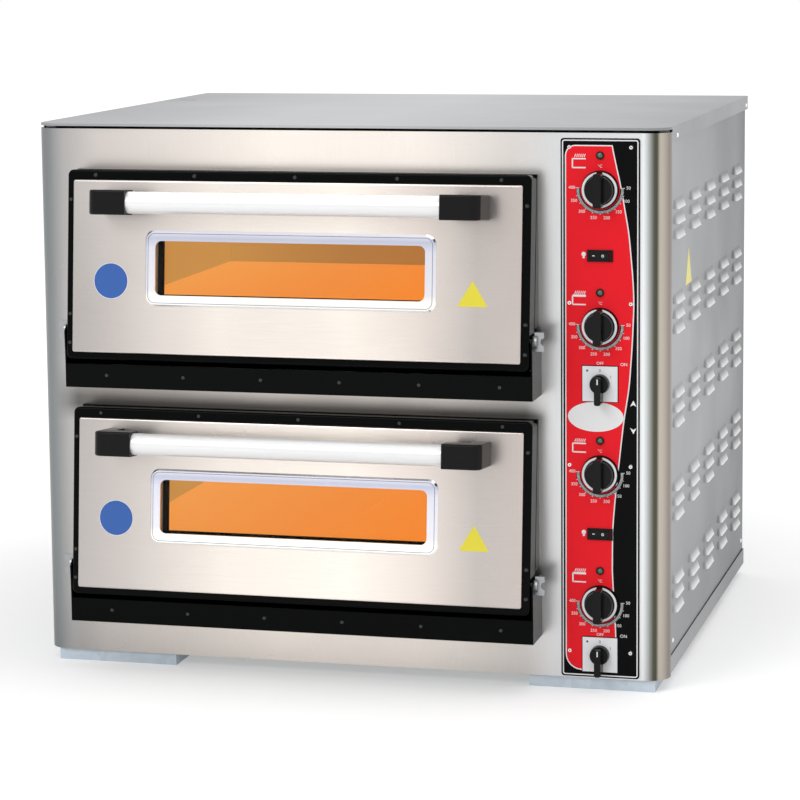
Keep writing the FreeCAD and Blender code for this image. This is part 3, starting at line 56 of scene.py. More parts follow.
DECKS = ("upper", "lower")
HEATS = ("top", "bottom")
LEAN = math.radians(5.2)
SKIN_FACE = -0.024
TRIM_PROUD = 0.003
TRIM_MIDDLE = Vector((-0.005, 0.089))
TRIM_HALF = Vector((0.2065, 0.0525))
STANDING = Matrix.Rotation(math.radians(90), 4, "X")


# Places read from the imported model

def loose_parts(node):
    """The boxes of a CAD node's separate solids, highest first."""
    mesh = bmesh.new()
    mesh.from_mesh(frame["nodes"][node].data)
    bmesh.ops.remove_doubles(mesh, verts=mesh.verts, dist=1e-6)
    waiting = set(mesh.verts)
    boxes = []
    while waiting:
        front = [waiting.pop()]
        found = list(front)
        while front:
            vert = front.pop()
            for edge in vert.link_edges:
                other = edge.other_vert(vert)
                if other in waiting:
                    waiting.remove(other)
                    front.append(other)
                    found.append(other)
        low = Vector(min(vert.co[axis] for vert in found) for axis in range(3))
        high = Vector(max(vert.co[axis] for vert in found) for axis in range(3))
        boxes.append((low, high))
    mesh.free()
    return sorted(boxes, key=lambda box: -box[1].z)


def middle(box):
    return (box[0] + box[1]) / 2


def joint_place(name):
    """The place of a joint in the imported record."""
    for joint in frame["joints"]:
        if joint["name"] == name:
            return Vector(joint["pos_m"])
    raise ValueError(f"the packed record has no joint {name}")


def knob_place(deck, heat):
    return joint_place(f"{deck}_{heat}_heat_turn")


FASCIA_LOW, FASCIA_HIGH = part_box("control_fascia")
FASCIA_FACE = FASCIA_LOW.y
SIDE_FACE = 0.446
PAPER = 0.00008
ON_FASCIA = Matrix.Translation((0, FASCIA_FACE, 0)) @ STANDING
ON_SIDE = Matrix(((0, 0, 1, SIDE_FACE), (1, 0, 0, 0), (0, 1, 0, 0), (0, 0, 0, 1)))


def on_door(deck):
    """From a flat drawing to a door's steel skin, with the drawing's origin over the hinge."""
    hinge = Matrix.Translation(joint_place(f"{deck}_door_hinge"))
    lean = Matrix.Rotation(-LEAN, 4, "X")
    return hinge @ lean @ Matrix.Translation((0, SKIN_FACE, 0)) @ STANDING


# Settings that a user may change

class PizzaOvenFinish(bpy.types.PropertyGroup):
    steel: FloatVectorProperty(
        name="Steel", description="Tint over the brushed steel of the front", subtype="COLOR", size=3, min=0,
        max=1, default=(1.0, 0.985, 0.97),
    )
    print_red: FloatVectorProperty(
        name="Fascia red", description="Red field of the fascia", subtype="COLOR", size=3, min=0, max=1,
        default=(0.98, 0.020, 0.032),
    )
    sticker_blue: FloatVectorProperty(
        name="Sticker blue", description="Round sticker on each door", subtype="COLOR", size=3, min=0, max=1,
        default=(0.03, 0.13, 0.48),
    )
    sticker_yellow: FloatVectorProperty(
        name="Sticker yellow", description="Three-cornered stickers", subtype="COLOR", size=3, min=0, max=1,
        default=(0.92, 0.80, 0.05),
    )
    # Scales the glow of the lamp lenses and the painted glow of the chamber surfaces.
    glow: FloatProperty(
        name="Chamber glow", description="How brightly the lit chambers shine", min=0, max=4, default=1.0
    )


class PizzaOvenPrint(bpy.types.PropertyGroup):
    ink: FloatProperty(
        name="Ink thickness", description="Thickness of a printed layer", unit="LENGTH", default=0.00008
    )
    line: FloatProperty(
        name="Line width", description="Width of the white border lines", unit="LENGTH", default=0.0016
    )
    dial_radius: FloatProperty(
        name="Dial radius", description="Inner radius of the scale round a knob", unit="LENGTH",
        default=0.0285,
    )
    dial_marks: IntProperty(name="Dial marks", description="Number of marks on a scale", min=2, default=61)
    number_size: FloatProperty(
        name="Number size", description="Height of the numbers on a scale", unit="LENGTH", default=0.0060
    )
    badge_width: FloatProperty(
        name="Badge width", description="Width of the blank oval badge", unit="LENGTH", default=0.0766
    )
    badge_height: FloatProperty(
        name="Badge height", description="Height of the blank oval badge", unit="LENGTH", default=0.0408
    )


class PizzaOvenStudio(bpy.types.PropertyGroup):
    floor: FloatProperty(name="Floor size", description="Side of the floor", unit="LENGTH", default=60.0)
    key: FloatProperty(name="Key light", description="Power of the key light", unit="POWER", default=52.0)
    fill: FloatProperty(
        name="Top light", description="Power of the light overhead", unit="POWER", default=34.0
    )
    world: FloatProperty(name="World level", description="Light from all round", min=0, max=2, default=0.62)


# Shader nodes

class Wiring:
    """Adds nodes to one tree, and sets or links their sockets in the same call."""

    def __init__(self, tree):
        self.tree = tree

    def add(self, kind, sockets=None, **settings):
        node = self.tree.nodes.new(kind)
        for name, value in settings.items():
            setattr(node, name, value)
        for name, value in (sockets or {}).items():
            self.join(value, node.inputs[name])
        return node

    def join(self, value, socket):
        if isinstance(value, bpy.types.NodeSocket):
            self.tree.links.new(value, socket)
        else:
            socket.default_value = value

    def sum(self, operation, *values):
        sockets = dict(enumerate(values))
        return self.add("ShaderNodeMath", sockets, operation=operation).outputs[0]

    def mix(self, factor, first, second, blend="MIX"):
        node = self.add("ShaderNodeMix", data_type="RGBA", blend_type=blend)
        self.join(factor, node.inputs["Factor"])
        self.join(first, [item for item in node.inputs if item.name == "A" and item.type == "RGBA"][0])
        self.join(second, [item for item in node.inputs if item.name == "B" and item.type == "RGBA"][0])
        return [item for item in node.outputs if item.type == "RGBA"][0]

    def place(self):
        return self.add("ShaderNodeTexCoord").outputs["Object"]

    def across(self, axis, low, high):
        """How far along an axis a point is, from 0 at low to 1 at high."""
        split = self.add("ShaderNodeSeparateXYZ", {"Vector": self.place()})
        sockets = {"Value": split.outputs[axis], "From Min": low, "From Max": high}
        return self.add("ShaderNodeMapRange", sockets).outputs["Result"]

    def ramp(self, factor, stops):
        node = self.add("ShaderNodeValToRGB", {"Fac": factor})
        elements = node.color_ramp.elements
        while len(elements) < len(stops):
            elements.new(0.5)
        for element, (place, color) in zip(elements, stops):
            element.position = place
            element.color = color
        return node.outputs["Color"]


def shade(code):
    """A display colour such as C8C2BF as a linear colour."""
    values = []
    for start in (0, 2, 4):
        value = int(code[start : start + 2], 16) / 255
        values.append(value / 12.92 if value <= 0.04045 else ((value + 0.055) / 1.055) ** 2.4)
    return (*values, 1.0)


def effect(name, inputs, outputs, wire):
    """Build a node group once, with named sockets."""
    group = bpy.data.node_groups.get(name)
    if group is None:
        group = bpy.data.node_groups.new(name, "ShaderNodeTree")
        for label, kind, value in inputs:
            socket = group.interface.new_socket(label, in_out="INPUT", socket_type=kind)
            socket.default_value = value
        for label, kind in outputs:
            group.interface.new_socket(label, in_out="OUTPUT", socket_type=kind)
        wiring = Wiring(group)
        start = wiring.add("NodeGroupInput").outputs
        end = wiring.add("NodeGroupOutput").inputs
        wire(wiring, start, end)
    return group


def brushing():
    """Fine parallel scratches, stretched along the way the sheet was brushed."""

    def wire(wiring, start, end):
        mapped = wiring.add("ShaderNodeMapping", {"Vector": wiring.place(), "Scale": start["Density"]})
        fine = wiring.add("ShaderNodeTexNoise", {"Vector": mapped.outputs[0], "Scale": 1.0, "Detail": 4.0})
        coarse = wiring.add("ShaderNodeTexNoise", {"Vector": wiring.place(), "Scale": 5.0, "Detail": 2.0})
        scratch = wiring.sum("MULTIPLY", wiring.sum("SUBTRACT", fine.outputs[0], 0.5), start["Amount"])
        cloud = wiring.sum("MULTIPLY", wiring.sum("SUBTRACT", coarse.outputs[0], 0.5), start["Cloud"])
        wiring.join(wiring.sum("ADD", wiring.sum("ADD", scratch, cloud), 1.0), end["Shade"])
        wiring.join(fine.outputs[0], end["Height"])
        worn = 0.05
        wear = {
            "Value": coarse.outputs[0], "From Min": 0.3, "From Max": 0.7, "To Min": -worn, "To Max": worn,
        }
        spread = wiring.add("ShaderNodeMapRange", wear).outputs["Result"]
        wiring.join(wiring.sum("ADD", start["Roughness"], spread), end["Roughness"])

    inputs = [
        ("Density", "NodeSocketVector", (30.0, 30.0, 1500.0)),
        ("Amount", "NodeSocketFloat", 0.12),
        ("Cloud", "NodeSocketFloat", 0.1),
        ("Roughness", "NodeSocketFloat", 0.3),
    ]
    outputs = [(name, "NodeSocketFloat") for name in ("Shade", "Height", "Roughness")]
    return effect("Brushing", inputs, outputs, wire)


def speckle():
    """Even random grain, for castings, mouldings, stone and enamel."""

    def wire(wiring, start, end):
        noise = wiring.add(
            "ShaderNodeTexNoise", {"Vector": wiring.place(), "Scale": start["Density"], "Detail": 3.0}
        )
        grain = wiring.sum("MULTIPLY", wiring.sum("SUBTRACT", noise.outputs[0], 0.5), start["Amount"])
        wiring.join(wiring.sum("ADD", grain, 1.0), end["Shade"])
        wiring.join(noise.outputs[0], end["Height"])

    inputs = [("Density", "NodeSocketFloat", 400.0), ("Amount", "NodeSocketFloat", 0.1)]
    return effect("Speckle", inputs, [("Shade", "NodeSocketFloat"), ("Height", "NodeSocketFloat")], wire)


def placed(wiring, group, values):
    """Put a shared effect in a material, with its own values."""
    node = wiring.add("ShaderNodeGroup", node_tree=group)
    for name, value in values.items():
        node.inputs[name].default_value = value
    return node


def tinted(wiring, color, factor):
    """A colour made lighter or darker by a factor that changes over the surface."""
    grey = wiring.add("ShaderNodeCombineColor", {"Red": factor, "Green": factor, "Blue": factor})
    return wiring.mix(1.0, color, grey.outputs[0], "MULTIPLY")


def new_material(name, paint, bump=0.0, bump_size=0.0002, **sockets):
    """A material with a Principled BSDF; paint wires its colour and its height."""
    material = bpy.data.materials.new(name)
    material.use_nodes = True
    material.node_tree.nodes.clear()
    wiring = Wiring(material.node_tree)
    surface = wiring.add("ShaderNodeBsdfPrincipled")
    wiring.add("ShaderNodeOutputMaterial", {"Surface": surface.outputs[0]})
    for label, value in sockets.items():
        wiring.join(value, surface.inputs[label.replace("_", " ")])
    color, height = paint(wiring, surface)
    wiring.join(color, surface.inputs["Base Color"])
    if bump:
        bumped = wiring.add(
            "ShaderNodeBump", {"Strength": bump, "Distance": bump_size, "Height": height}
        )
        wiring.join(bumped.outputs[0], surface.inputs["Normal"])
    return material


def tones(wiring, stops, axis):
    """A colour that drifts along an axis, with its stops at real places."""
    low, high = stops[0][0], stops[-1][0]
    spread = [((place - low) / (high - low), shade(code)) for place, code in stops]
    return wiring.ramp(wiring.across(axis, low, high), spread)


def brushed(stops, axis, density, amount=0.12, cloud=0.08, tint=None, shade_levels=None, lip_highlight_span=None):
    """Brushed sheet whose colour drifts along one axis as painted reflection and painted shade; it can also
    multiply in painted shade by height and brighten the louvre lips with a painted highlight.
    """

    def paint(wiring, surface):
        roughness = surface.inputs["Roughness"]
        values = {"Density": density, "Amount": amount, "Cloud": cloud, "Roughness": roughness.default_value}
        node = placed(wiring, brushing(), values)
        wiring.join(node.outputs["Roughness"], roughness)
        color = tones(wiring, stops, axis)
        if tint:
            color = wiring.mix(1.0, color, (*tint, 1.0), "MULTIPLY")
        if shade_levels:
            # Multiply in the painted shade by height, only across the width of the doors.
            color = wiring.mix(tones(wiring, PAINTED_SHADE_SPAN, "X"), color, tones(wiring, shade_levels, "Z"), "MULTIPLY")
        # Brighten what stands out from the side panels, such as the louvre lips, towards white: a painted
        # highlight.
        if lip_highlight_span:
            color = wiring.mix(pressed_out(wiring, *lip_highlight_span), color, (1.0, 1.0, 1.0, 1.0))
        return tinted(wiring, color, node.outputs["Shade"]), node.outputs["Height"]

    return paint


def pressed_out(wiring, low, high):
    """A mask of what stands out from the side panels, such as the lips of the louvres, which are brightened
    with a painted highlight.
    """
    split = wiring.add("ShaderNodeSeparateXYZ", {"Vector": wiring.place()})
    out = wiring.sum("ABSOLUTE", split.outputs["X"])
    sockets = {"Value": out, "From Min": low, "From Max": high}
    return wiring.add("ShaderNodeMapRange", sockets).outputs["Result"]


def grained(color, density, amount):
    """One colour with an even random grain."""

    def paint(wiring, surface):
        node = placed(wiring, speckle(), {"Density": density, "Amount": amount})
        return tinted(wiring, (*color[:3], 1.0), node.outputs["Shade"]), node.outputs["Height"]

    return paint


# Painted reflections on the front panel: tones across it, light in the middle, with dark and olive bands of
# reflection at the rounded corners.
FRONT_REFLECTION_TONES = [
    (-0.452, "565C60"), (-0.444, "757A7D"), (-0.428, "888C8E"), (-0.410, "A9A8A8"), (-0.36, "C6C1BE"),
    (-0.10, "F2EBE4"), (0.10, "EFE8E2"), (0.24, "D4D0CD"), (0.295, "D0D2D4"), (0.412, "D8DCDE"),
    (0.417, "E4E8EA"), (0.425, "9EA2A2"), (0.430, "55554A"), (0.4345, "505044"), (0.438, "B9B3A8"),
    (0.443, "B4ADA3"), (0.448, "8E857E"), (0.452, "6E6668"),
]
# Painted reflection and shade on the door skins: lightest near the middle, greyer towards both ends.
SKIN_REFLECTION_TONES = [
    (-0.38, "B4B0AE"), (-0.30, "C6C0BD"), (-0.16, "EDE6DF"), (0.02, "F8F1E9"), (0.12, "E4DBD5"),
    (0.20, "BDB7B4"), (0.27, "C3BAB6"),
]
# Painted highlights and reflections on the window trims: white and bluish grey bands up the height of each
# door's trim.
TRIM_HIGHLIGHT_TONES = [
    (0.186, "FFFFFF"), (0.205, "FFFDF8"), (0.215, "E9E8EE"), (0.272, "DEDFEA"), (0.286, "C3C6D8"),
    (0.294, "E4E3EC"), (0.520, "FFFFFF"), (0.539, "FFFDF8"), (0.549, "E9E8EE"), (0.606, "DEDFEA"),
    (0.620, "C3C6D8"), (0.628, "E4E3EC"),
]
# Painted shade on the side panels, lighter at the front and darker towards the back; and on the top cover,
# lighter over the middle and darker towards the sides.
SIDE_SHADE_TONES = [(-0.33, "9B9EA0"), (0.0, "8F9092"), (0.25, "7A7B7F"), (0.45, "6A6C6F")]
TOP_SHADE_TONES = [(-0.45, "98989B"), (-0.15, "B4B6B7"), (0.0, "B6B8B9"), (0.30, "9EA0A2"), (0.45, "8E9092")]
# Painted shade on the front panel by height: a dark band between the decks just above the lower door's
# frame, and a little darker at the bottom.
DECK_GAP_SHADE_TONES = [
    (0.0, "EAEAEA"), (0.070, "F0F0F0"), (0.100, "FFFFFF"), (0.350, "FFFFFF"), (0.374, "8C8C8C"),
    (0.386, "989898"), (0.402, "D0D0D0"), (0.430, "FFFFFF"), (0.720, "FFFFFF"), (0.772, "FFFFFF"),
]
# Where the painted shade by height applies: across the width of the doors, fading out at both ends.
PAINTED_SHADE_SPAN = [
    (-0.45, "000000"), (-0.43, "000000"), (-0.395, "FFFFFF"), (0.255, "FFFFFF"), (0.29, "000000"),
    (0.45, "000000"),
]
# Painted light: the glow of the baking stones and the chamber walls stands in for the light of the chamber
# lamps, brighter towards the right.
STONE_PAINTED_GLOW = [(-0.37, "EE9E4E"), (-0.12, "F08F3C"), (0.10, "F98A20"), (0.26, "FF9712")]
CHAMBER_PAINTED_GLOW = [(-0.37, "D9A054"), (-0.18, "C08848"), (0.05, "BD7C38"), (0.26, "D07A28")]
ALONG_X = (25.0, 900.0, 900.0)
ALONG_Z = (900.0, 900.0, 25.0)


def lit_chamber(name, color, glow, strength, density):
    """A chamber surface that glows with painted lamp light, warm and brighter towards the right."""
    amount = 0.16
    material = new_material(
        name, grained(color, density, amount), bump=0.25, bump_size=0.0004, Roughness=0.75
    )
    wiring = Wiring(material.node_tree)
    surface = material.node_tree.nodes["Principled BSDF"]
    light = tones(wiring, glow, "X")
    node = placed(wiring, speckle(), {"Density": density, "Amount": amount})
    wiring.join(tinted(wiring, light, node.outputs["Shade"]), surface.inputs["Emission Color"])
    surface.inputs["Emission Strength"].default_value = strength
    return material


def make_materials(finish):
    """Every finish of the oven, by name."""
    steel = tuple(finish.steel)
    glow = finish.glow
    return {
        # Front panel: painted reflection across it and painted shade between the decks.
        "front_steel": new_material(
            "front_steel", brushed(FRONT_REFLECTION_TONES, "X", ALONG_Z, 0.10, 0.06, steel, shade_levels=DECK_GAP_SHADE_TONES),
            bump=0.12, Metallic=1.0, Roughness=0.30,
        ),
        # Door skins: painted reflection and shade across them.
        "skin_steel": new_material(
            "skin_steel", brushed(SKIN_REFLECTION_TONES, "X", ALONG_X, 0.10, 0.08, steel),
            bump=0.12, Metallic=1.0, Roughness=0.28,
        ),
        # Side panels: painted shade from front to back, and a painted highlight on the louvre lips.
        "side_steel": new_material(
            "side_steel", brushed(SIDE_SHADE_TONES, "Y", ALONG_Z, 0.08, 0.06, lip_highlight_span=(0.4475, 0.4535)),
            bump=0.1, Metallic=1.0, Roughness=0.42,
        ),
        # Top cover: painted shade across it.
        "top_steel": new_material(
            "top_steel", brushed(TOP_SHADE_TONES, "X", ALONG_X, 0.08, 0.06),
            bump=0.1, Metallic=1.0, Roughness=0.40,
        ),
        # Window trims: painted highlight bands up their height.
        "trim_steel": new_material(
            "trim_steel", brushed(TRIM_HIGHLIGHT_TONES, "Z", ALONG_X, 0.05, 0.03),
            bump=0.06, Metallic=1.0, Roughness=0.24,
        ),
        "galvanised": new_material(
            "galvanised", spangled("D3E2EE", "E2ECF5"), bump=0.1, Metallic=0.05, Roughness=0.4,
        ),
        "enamel": new_material(
            "enamel", grained((0.0016, 0.0022, 0.0020), 90.0, 0.3), bump=0.06, bump_size=0.0006,
            Roughness=0.12, Specular_IOR_Level=0.05,
        ),
        "stone": lit_chamber(
            "stone", (0.22, 0.10, 0.03), STONE_PAINTED_GLOW, 0.86 * glow, 900.0
        ),
        "chamber": lit_chamber(
            "chamber", (0.14, 0.10, 0.05), CHAMBER_PAINTED_GLOW, 0.66 * glow, 300.0
        ),
        "wool": new_material(
            "wool", grained((0.60, 0.55, 0.38), 260.0, 0.5), bump=0.8, bump_size=0.002, Roughness=0.95
        ),
        "rod": new_material(
            "rod", grained((0.10, 0.085, 0.08), 500.0, 0.3), bump=0.2, Metallic=0.8, Roughness=0.5
        ),
        "rope": new_material("rope", braided("CFCDBF", "9C998B"), bump=0.9, bump_size=0.001, Roughness=0.9),
        "window_glass": new_material(
            "window_glass", grained((1.0, 0.985, 0.95), 30.0, 0.02), Roughness=0.0, IOR=1.15,
            Transmission_Weight=1.0,
        ),
        "lamp_glass": new_material(
            "lamp_glass", grained((1.0, 0.85, 0.60), 200.0, 0.1), Roughness=0.3,
            Emission_Color=(1.0, 0.72, 0.38, 1.0), Emission_Strength=1.6 * glow,
        ),
        # Handle tubes: bright metal given a near-white colour, a painted reflection.
        "handle": new_material(
            "handle", brushed([(-0.35, "FFFFFF"), (0.25, "FBFBFC")], "X", ALONG_X, 0.03, 0.01),
            bump=0.04, Metallic=0.2, Roughness=0.22,
        ),
        "moulding": new_material(
            "moulding", grained((0.0055, 0.0055, 0.006), 1400.0, 0.35), bump=0.25, bump_size=0.0001,
            Roughness=0.30, Specular_IOR_Level=0.14,
        ),
        "knob": new_material(
            "knob", grained((0.0045, 0.0045, 0.005), 1600.0, 0.3), bump=0.12, bump_size=0.0001,
            Roughness=0.22, Specular_IOR_Level=0.16,
        ),
        "print_black": new_material(
            "print_black", grained((0.003, 0.0032, 0.0038), 600.0, 0.25), bump=0.05, Roughness=0.2,
            Specular_IOR_Level=0.05,
        ),
        "print_red": new_material(
            "print_red", grained(tuple(finish.print_red), 500.0, 0.05), bump=0.04, Roughness=0.25,
            Specular_IOR_Level=0.05,
        ),
        "print_white": new_material(
            "print_white", grained((0.93, 0.93, 0.94), 500.0, 0.04), bump=0.04, Roughness=0.3
        ),
        "print_grey": new_material(
            "print_grey", grained((0.10, 0.11, 0.12), 500.0, 0.06), bump=0.04, Roughness=0.4
        ),
        "plate_white": new_material(
            "plate_white", grained((0.94, 0.95, 0.97), 900.0, 0.05), bump=0.1, bump_size=0.0001,
            Roughness=0.35,
        ),
        "lens": new_material(
            "lens", grained((0.012, 0.11, 0.05), 300.0, 0.5), bump=0.1, Roughness=0.08, Coat_Weight=1.0
        ),
        "sticker_blue": new_material(
            "sticker_blue", grained(tuple(finish.sticker_blue), 500.0, 0.05), bump=0.05, Roughness=0.32
        ),
        "sticker_yellow": new_material(
            "sticker_yellow", grained(tuple(finish.sticker_yellow), 500.0, 0.05), bump=0.05,
            Roughness=0.32,
        ),
        "screw": new_material(
            "screw", grained((0.86, 0.86, 0.87), 1500.0, 0.15), bump=0.1, Metallic=1.0, Roughness=0.24
        ),
        "black_screw": new_material(
            "black_screw", grained((0.05, 0.052, 0.052), 1500.0, 0.25), bump=0.1, Metallic=0.9,
            Roughness=0.26,
        ),
        "bolt": new_material(
            "bolt", grained((0.34, 0.35, 0.36), 900.0, 0.3), bump=0.2, Metallic=1.0, Roughness=0.3
        ),
        "groove": new_material(
            "groove", grained((0.16, 0.20, 0.26), 900.0, 0.2), bump=0.05, Metallic=0.6, Roughness=0.35
        ),
        "recess": new_material("recess", grained((0.02, 0.02, 0.02), 900.0, 0.3), bump=0.1, Roughness=0.6),
    }


def spangled(first, second):
    """The crystal pattern of zinc on steel."""

    def paint(wiring, surface):
        cells = wiring.add("ShaderNodeTexVoronoi", {"Vector": wiring.place(), "Scale": 90.0})
        split = wiring.add("ShaderNodeSeparateColor", {"Color": cells.outputs["Color"]})
        color = wiring.ramp(split.outputs[0], [(0.0, shade(first)), (1.0, shade(second))])
        return color, cells.outputs["Distance"]

    return paint


def braided(light, dark):
    """The plaited surface of a glass-fibre rope."""

    def paint(wiring, surface):
        waves = wiring.add(
            "ShaderNodeTexWave", {"Vector": wiring.place(), "Scale": 120.0, "Distortion": 2.0},
            bands_direction="DIAGONAL",
        )
        color = wiring.ramp(waves.outputs["Fac"], [(0.0, shade(dark)), (1.0, shade(light))])
        return color, waves.outputs["Fac"]

    return paint


FINISH_OF_NODE = {
    "top_cover": "top_steel",
    "front_panel": "front_steel",
    "left_side_panel": "side_steel",
    "right_side_panel": "side_steel",
    "rear_panel": "side_steel",
    "base_tray": "side_steel",
    "feet": "galvanised",
    "bay_wall": "galvanised",
    "insulation": "wool",
    "mouth_gaskets": "rope",
    "chamber_lamps": "lamp_glass",
    "control_fascia": "print_black",
    "selector_plates": "plate_white",
    "hinge_bolts": "bolt",
    "sill_screws": "black_screw",
}
FINISH_OF_ENDING = {
    "_door_screws": "black_screw",
    "_screws": "screw",
    "_chamber": "chamber",
    "_stones": "stone",
    "_elements": "rod",
    "_casing": "enamel",
    "_mouth_frame": "enamel",
    "_sill": "enamel",
    "_skin": "skin_steel",
    "_trim": "trim_steel",
    "_glass": "window_glass",
    "_insulation": "wool",
    "_tube": "handle",
    "_knob": "knob",
    "_rocker": "knob",
}


def finish_of(node):
    if node in FINISH_OF_NODE:
        return FINISH_OF_NODE[node]
    for ending, finish in FINISH_OF_ENDING.items():
        if node.endswith(ending):
            return finish
    return "moulding"


# Meshes

def flat(bm, faces, thickness):
    """Give flat faces a thickness, upwards."""
    made = bmesh.ops.extrude_face_region(bm, geom=faces)
    verts = [item for item in made["geom"] if isinstance(item, bmesh.types.BMVert)]
    bmesh.ops.translate(bm, vec=(0, 0, thickness), verts=verts)


def outline_face(bm, points):
    return bm.faces.new([bm.verts.new((*point, 0)) for point in points])


def round_corners(bm, verts, radius, segments=6):
    bmesh.ops.bevel(
        bm, geom=verts, offset=radius, segments=segments, profile=0.5, affect="VERTICES", material=-1,
        clamp_overlap=True,
    )


def line_round(bm, face, width):
    """Leave only a line of the given width along the inside of a face's edge."""
    ring = bmesh.ops.inset_region(
        bm, faces=[face], thickness=width, use_boundary=True, use_even_offset=True
    )
    inside = [item for item in bm.faces if item not in ring["faces"]]
    bmesh.ops.delete(bm, geom=inside, context="FACES")


def rounded_line(bm, low, high, radius, width):
    """A line round a rectangle with rounded corners."""
    outline_face(bm, [(low[0], low[1]), (high[0], low[1]), (high[0], high[1]), (low[0], high[1])])
    round_corners(bm, bm.verts[:], radius)
    line_round(bm, bm.faces[:][0], width)


def add_part(bm, part, matrix):
    """Merge a small drawing into a larger one, at its own place."""
    part.transform(matrix)
    mesh = bpy.data.meshes.new("part")
    part.to_mesh(mesh)
    part.free()
    bm.from_mesh(mesh)
    bpy.data.meshes.remove(mesh)


def bar(bm, place, length, width, angle=0.0):
    """A flat bar whose length runs along the angle."""
    matrix = Matrix.Translation((*place, 0)) @ Matrix.Rotation(angle, 4, "Z")
    matrix = matrix @ Matrix.Diagonal((length, width, 1, 1))
    bmesh.ops.create_grid(bm, x_segments=1, y_segments=1, size=0.5, matrix=matrix)


def disc(bm, place, radius, segments=32, stretch=(1, 1)):
    matrix = Matrix.Translation((*place, 0)) @ Matrix.Diagonal((*stretch, 1, 1))
    bmesh.ops.create_circle(bm, cap_ends=True, segments=segments, radius=radius, matrix=matrix)


def band(bm, inner, outer, start, turn, steps):
    """A flat band round the origin, from one angle through a turn; a full turn is closed."""
    ray = Vector((math.cos(start), math.sin(start), 0))
    verts = [bm.verts.new(ray * inner), bm.verts.new(ray * outer)]
    edge = bm.edges.new(verts)
    bmesh.ops.spin(
        bm, geom=[*verts, edge], axis=(0, 0, 1), cent=(0, 0, 0), angle=turn, steps=steps,
        use_duplicate=False, use_merge=math.isclose(abs(turn), 2 * math.pi),
    )


def letters(bm, text, place, size):
    """Lay a word down, centred on its place."""
    curve = bpy.data.curves.new("letters", "FONT")
    curve.body = text
    curve.size = size
    curve.align_x = "CENTER"
    curve.align_y = "CENTER"
    curve.resolution_u = 3
    holder = bpy.data.objects.new("letters", curve)
    mesh = bpy.data.meshes.new_from_object(holder)
    mesh.transform(Matrix.Translation((*place, 0)))
    bm.from_mesh(mesh)
    bpy.data.objects.remove(holder)
    bpy.data.curves.remove(curve)
    bpy.data.meshes.remove(mesh)


def piece(name, bm, place, body, finish, smooth=False):
    """Turn a drawing into a finished piece that rides on a body."""
    bmesh.ops.remove_doubles(bm, verts=bm.verts, dist=1e-7)
    bmesh.ops.recalc_face_normals(bm, faces=bm.faces)
    bmesh.ops.transform(bm, matrix=place, verts=bm.verts)
    for face in bm.faces:
        face.smooth = smooth
    mesh = bpy.data.meshes.new(name)
    bm.to_mesh(mesh)
    bm.free()
    item = bpy.data.objects.new(name, mesh)
    bpy.context.scene.collection.objects.link(item)
    mesh.materials.append(bpy.data.materials[finish])
    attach(item, body)


class PizzaOvenFinishes(bpy.types.Operator):
    """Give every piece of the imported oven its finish"""

    bl_idname = "pizza_oven.finishes"
    bl_label = "Finishes"

    def execute(self, context):
        made = make_materials(context.scene.pizza_oven_finish)
        for name, item in frame["nodes"].items():
            item.data.materials.clear()
            item.data.materials.append(made[finish_of(name)])
        return {"FINISHED"}


FIELD_EDGE = [
    (0.375, 0.7320), (0.380, 0.7070), (0.3865, 0.6796), (0.398, 0.6140), (0.4035, 0.5530), (0.405, 0.5200),
    (0.403, 0.4670), (0.3986, 0.4050), (0.391, 0.3570), (0.385, 0.3030), (0.3783, 0.2390), (0.376, 0.2065),
    (0.3757, 0.1524), (0.3772, 0.1200), (0.3807, 0.0605), (0.3807, 0.0110),
]
FIELD_LEFT = 0.3100
BULGE_FROM = 0.376
FOOT = 0.017


class PizzaOvenFasciaPrint(bpy.types.Operator):
    """Print the red field and the white borders on the fascia"""

    bl_idname = "pizza_oven.fascia_print"
    bl_label = "Fascia print"

    def execute(self, context):
        settings = context.scene.pizza_oven_print
        self.border(settings)
        for name, finish, inset, lift in (
            ("fascia_field_edge", "print_white", 0.0, 1),
            ("fascia_field", "print_red", settings.line, 2),
        ):
            bm = bmesh.new()
            edge = [(across, up + FOOT) for across, up in FIELD_EDGE]
            low, high = edge[-1][1], edge[0][1]
            face = outline_face(bm, [*edge, (FIELD_LEFT, low), (FIELD_LEFT, high)])
            verts = list(face.verts)
            upper_corner, lower_corner, bend = 0.014, 0.022, 0.012
            round_corners(bm, [verts[-1]], upper_corner)
            round_corners(bm, [vert for vert in bm.verts if near(vert.co, FIELD_LEFT, low)], lower_corner)
            margin = 0.01
            bulge = [vert for vert in bm.verts if vert.co.x > BULGE_FROM]
            bends = [vert for vert in bulge if low + margin < vert.co.y < high - margin]
            round_corners(bm, bends, bend, 3)
            face = bm.faces[:][0]
            if inset:
                ring = bmesh.ops.inset_region(
                    bm, faces=[face], thickness=inset, use_boundary=True, use_even_offset=True
                )
                bmesh.ops.delete(bm, geom=ring["faces"], context="FACES")
            flat(bm, bm.faces[:], settings.ink * lift)
            piece(name, bm, ON_FASCIA, "case", finish)
        return {"FINISHED"}

    def border(self, settings):
        bm = bmesh.new()
        inset, corner = 0.002, 0.0035
        low = (FASCIA_LOW.x + inset, FASCIA_LOW.z + inset)
        high = (FASCIA_HIGH.x - inset, FASCIA_HIGH.z - inset)
        rounded_line(bm, low, high, corner, settings.line)
        flat(bm, bm.faces[:], settings.ink)
        piece("fascia_border", bm, ON_FASCIA, "case", "print_white")


def near(place, across, up):
    return abs(place.x - across) < 1e-4 and abs(place.y - up) < 1e-4


SCALE_START = math.radians(4)
SCALE_TURN = math.radians(188)


def round_dial(place, radius, angle):
    """A point of a scale, in the drawing of the fascia."""
    return place.x + radius * math.cos(angle), place.z + radius * math.sin(angle)


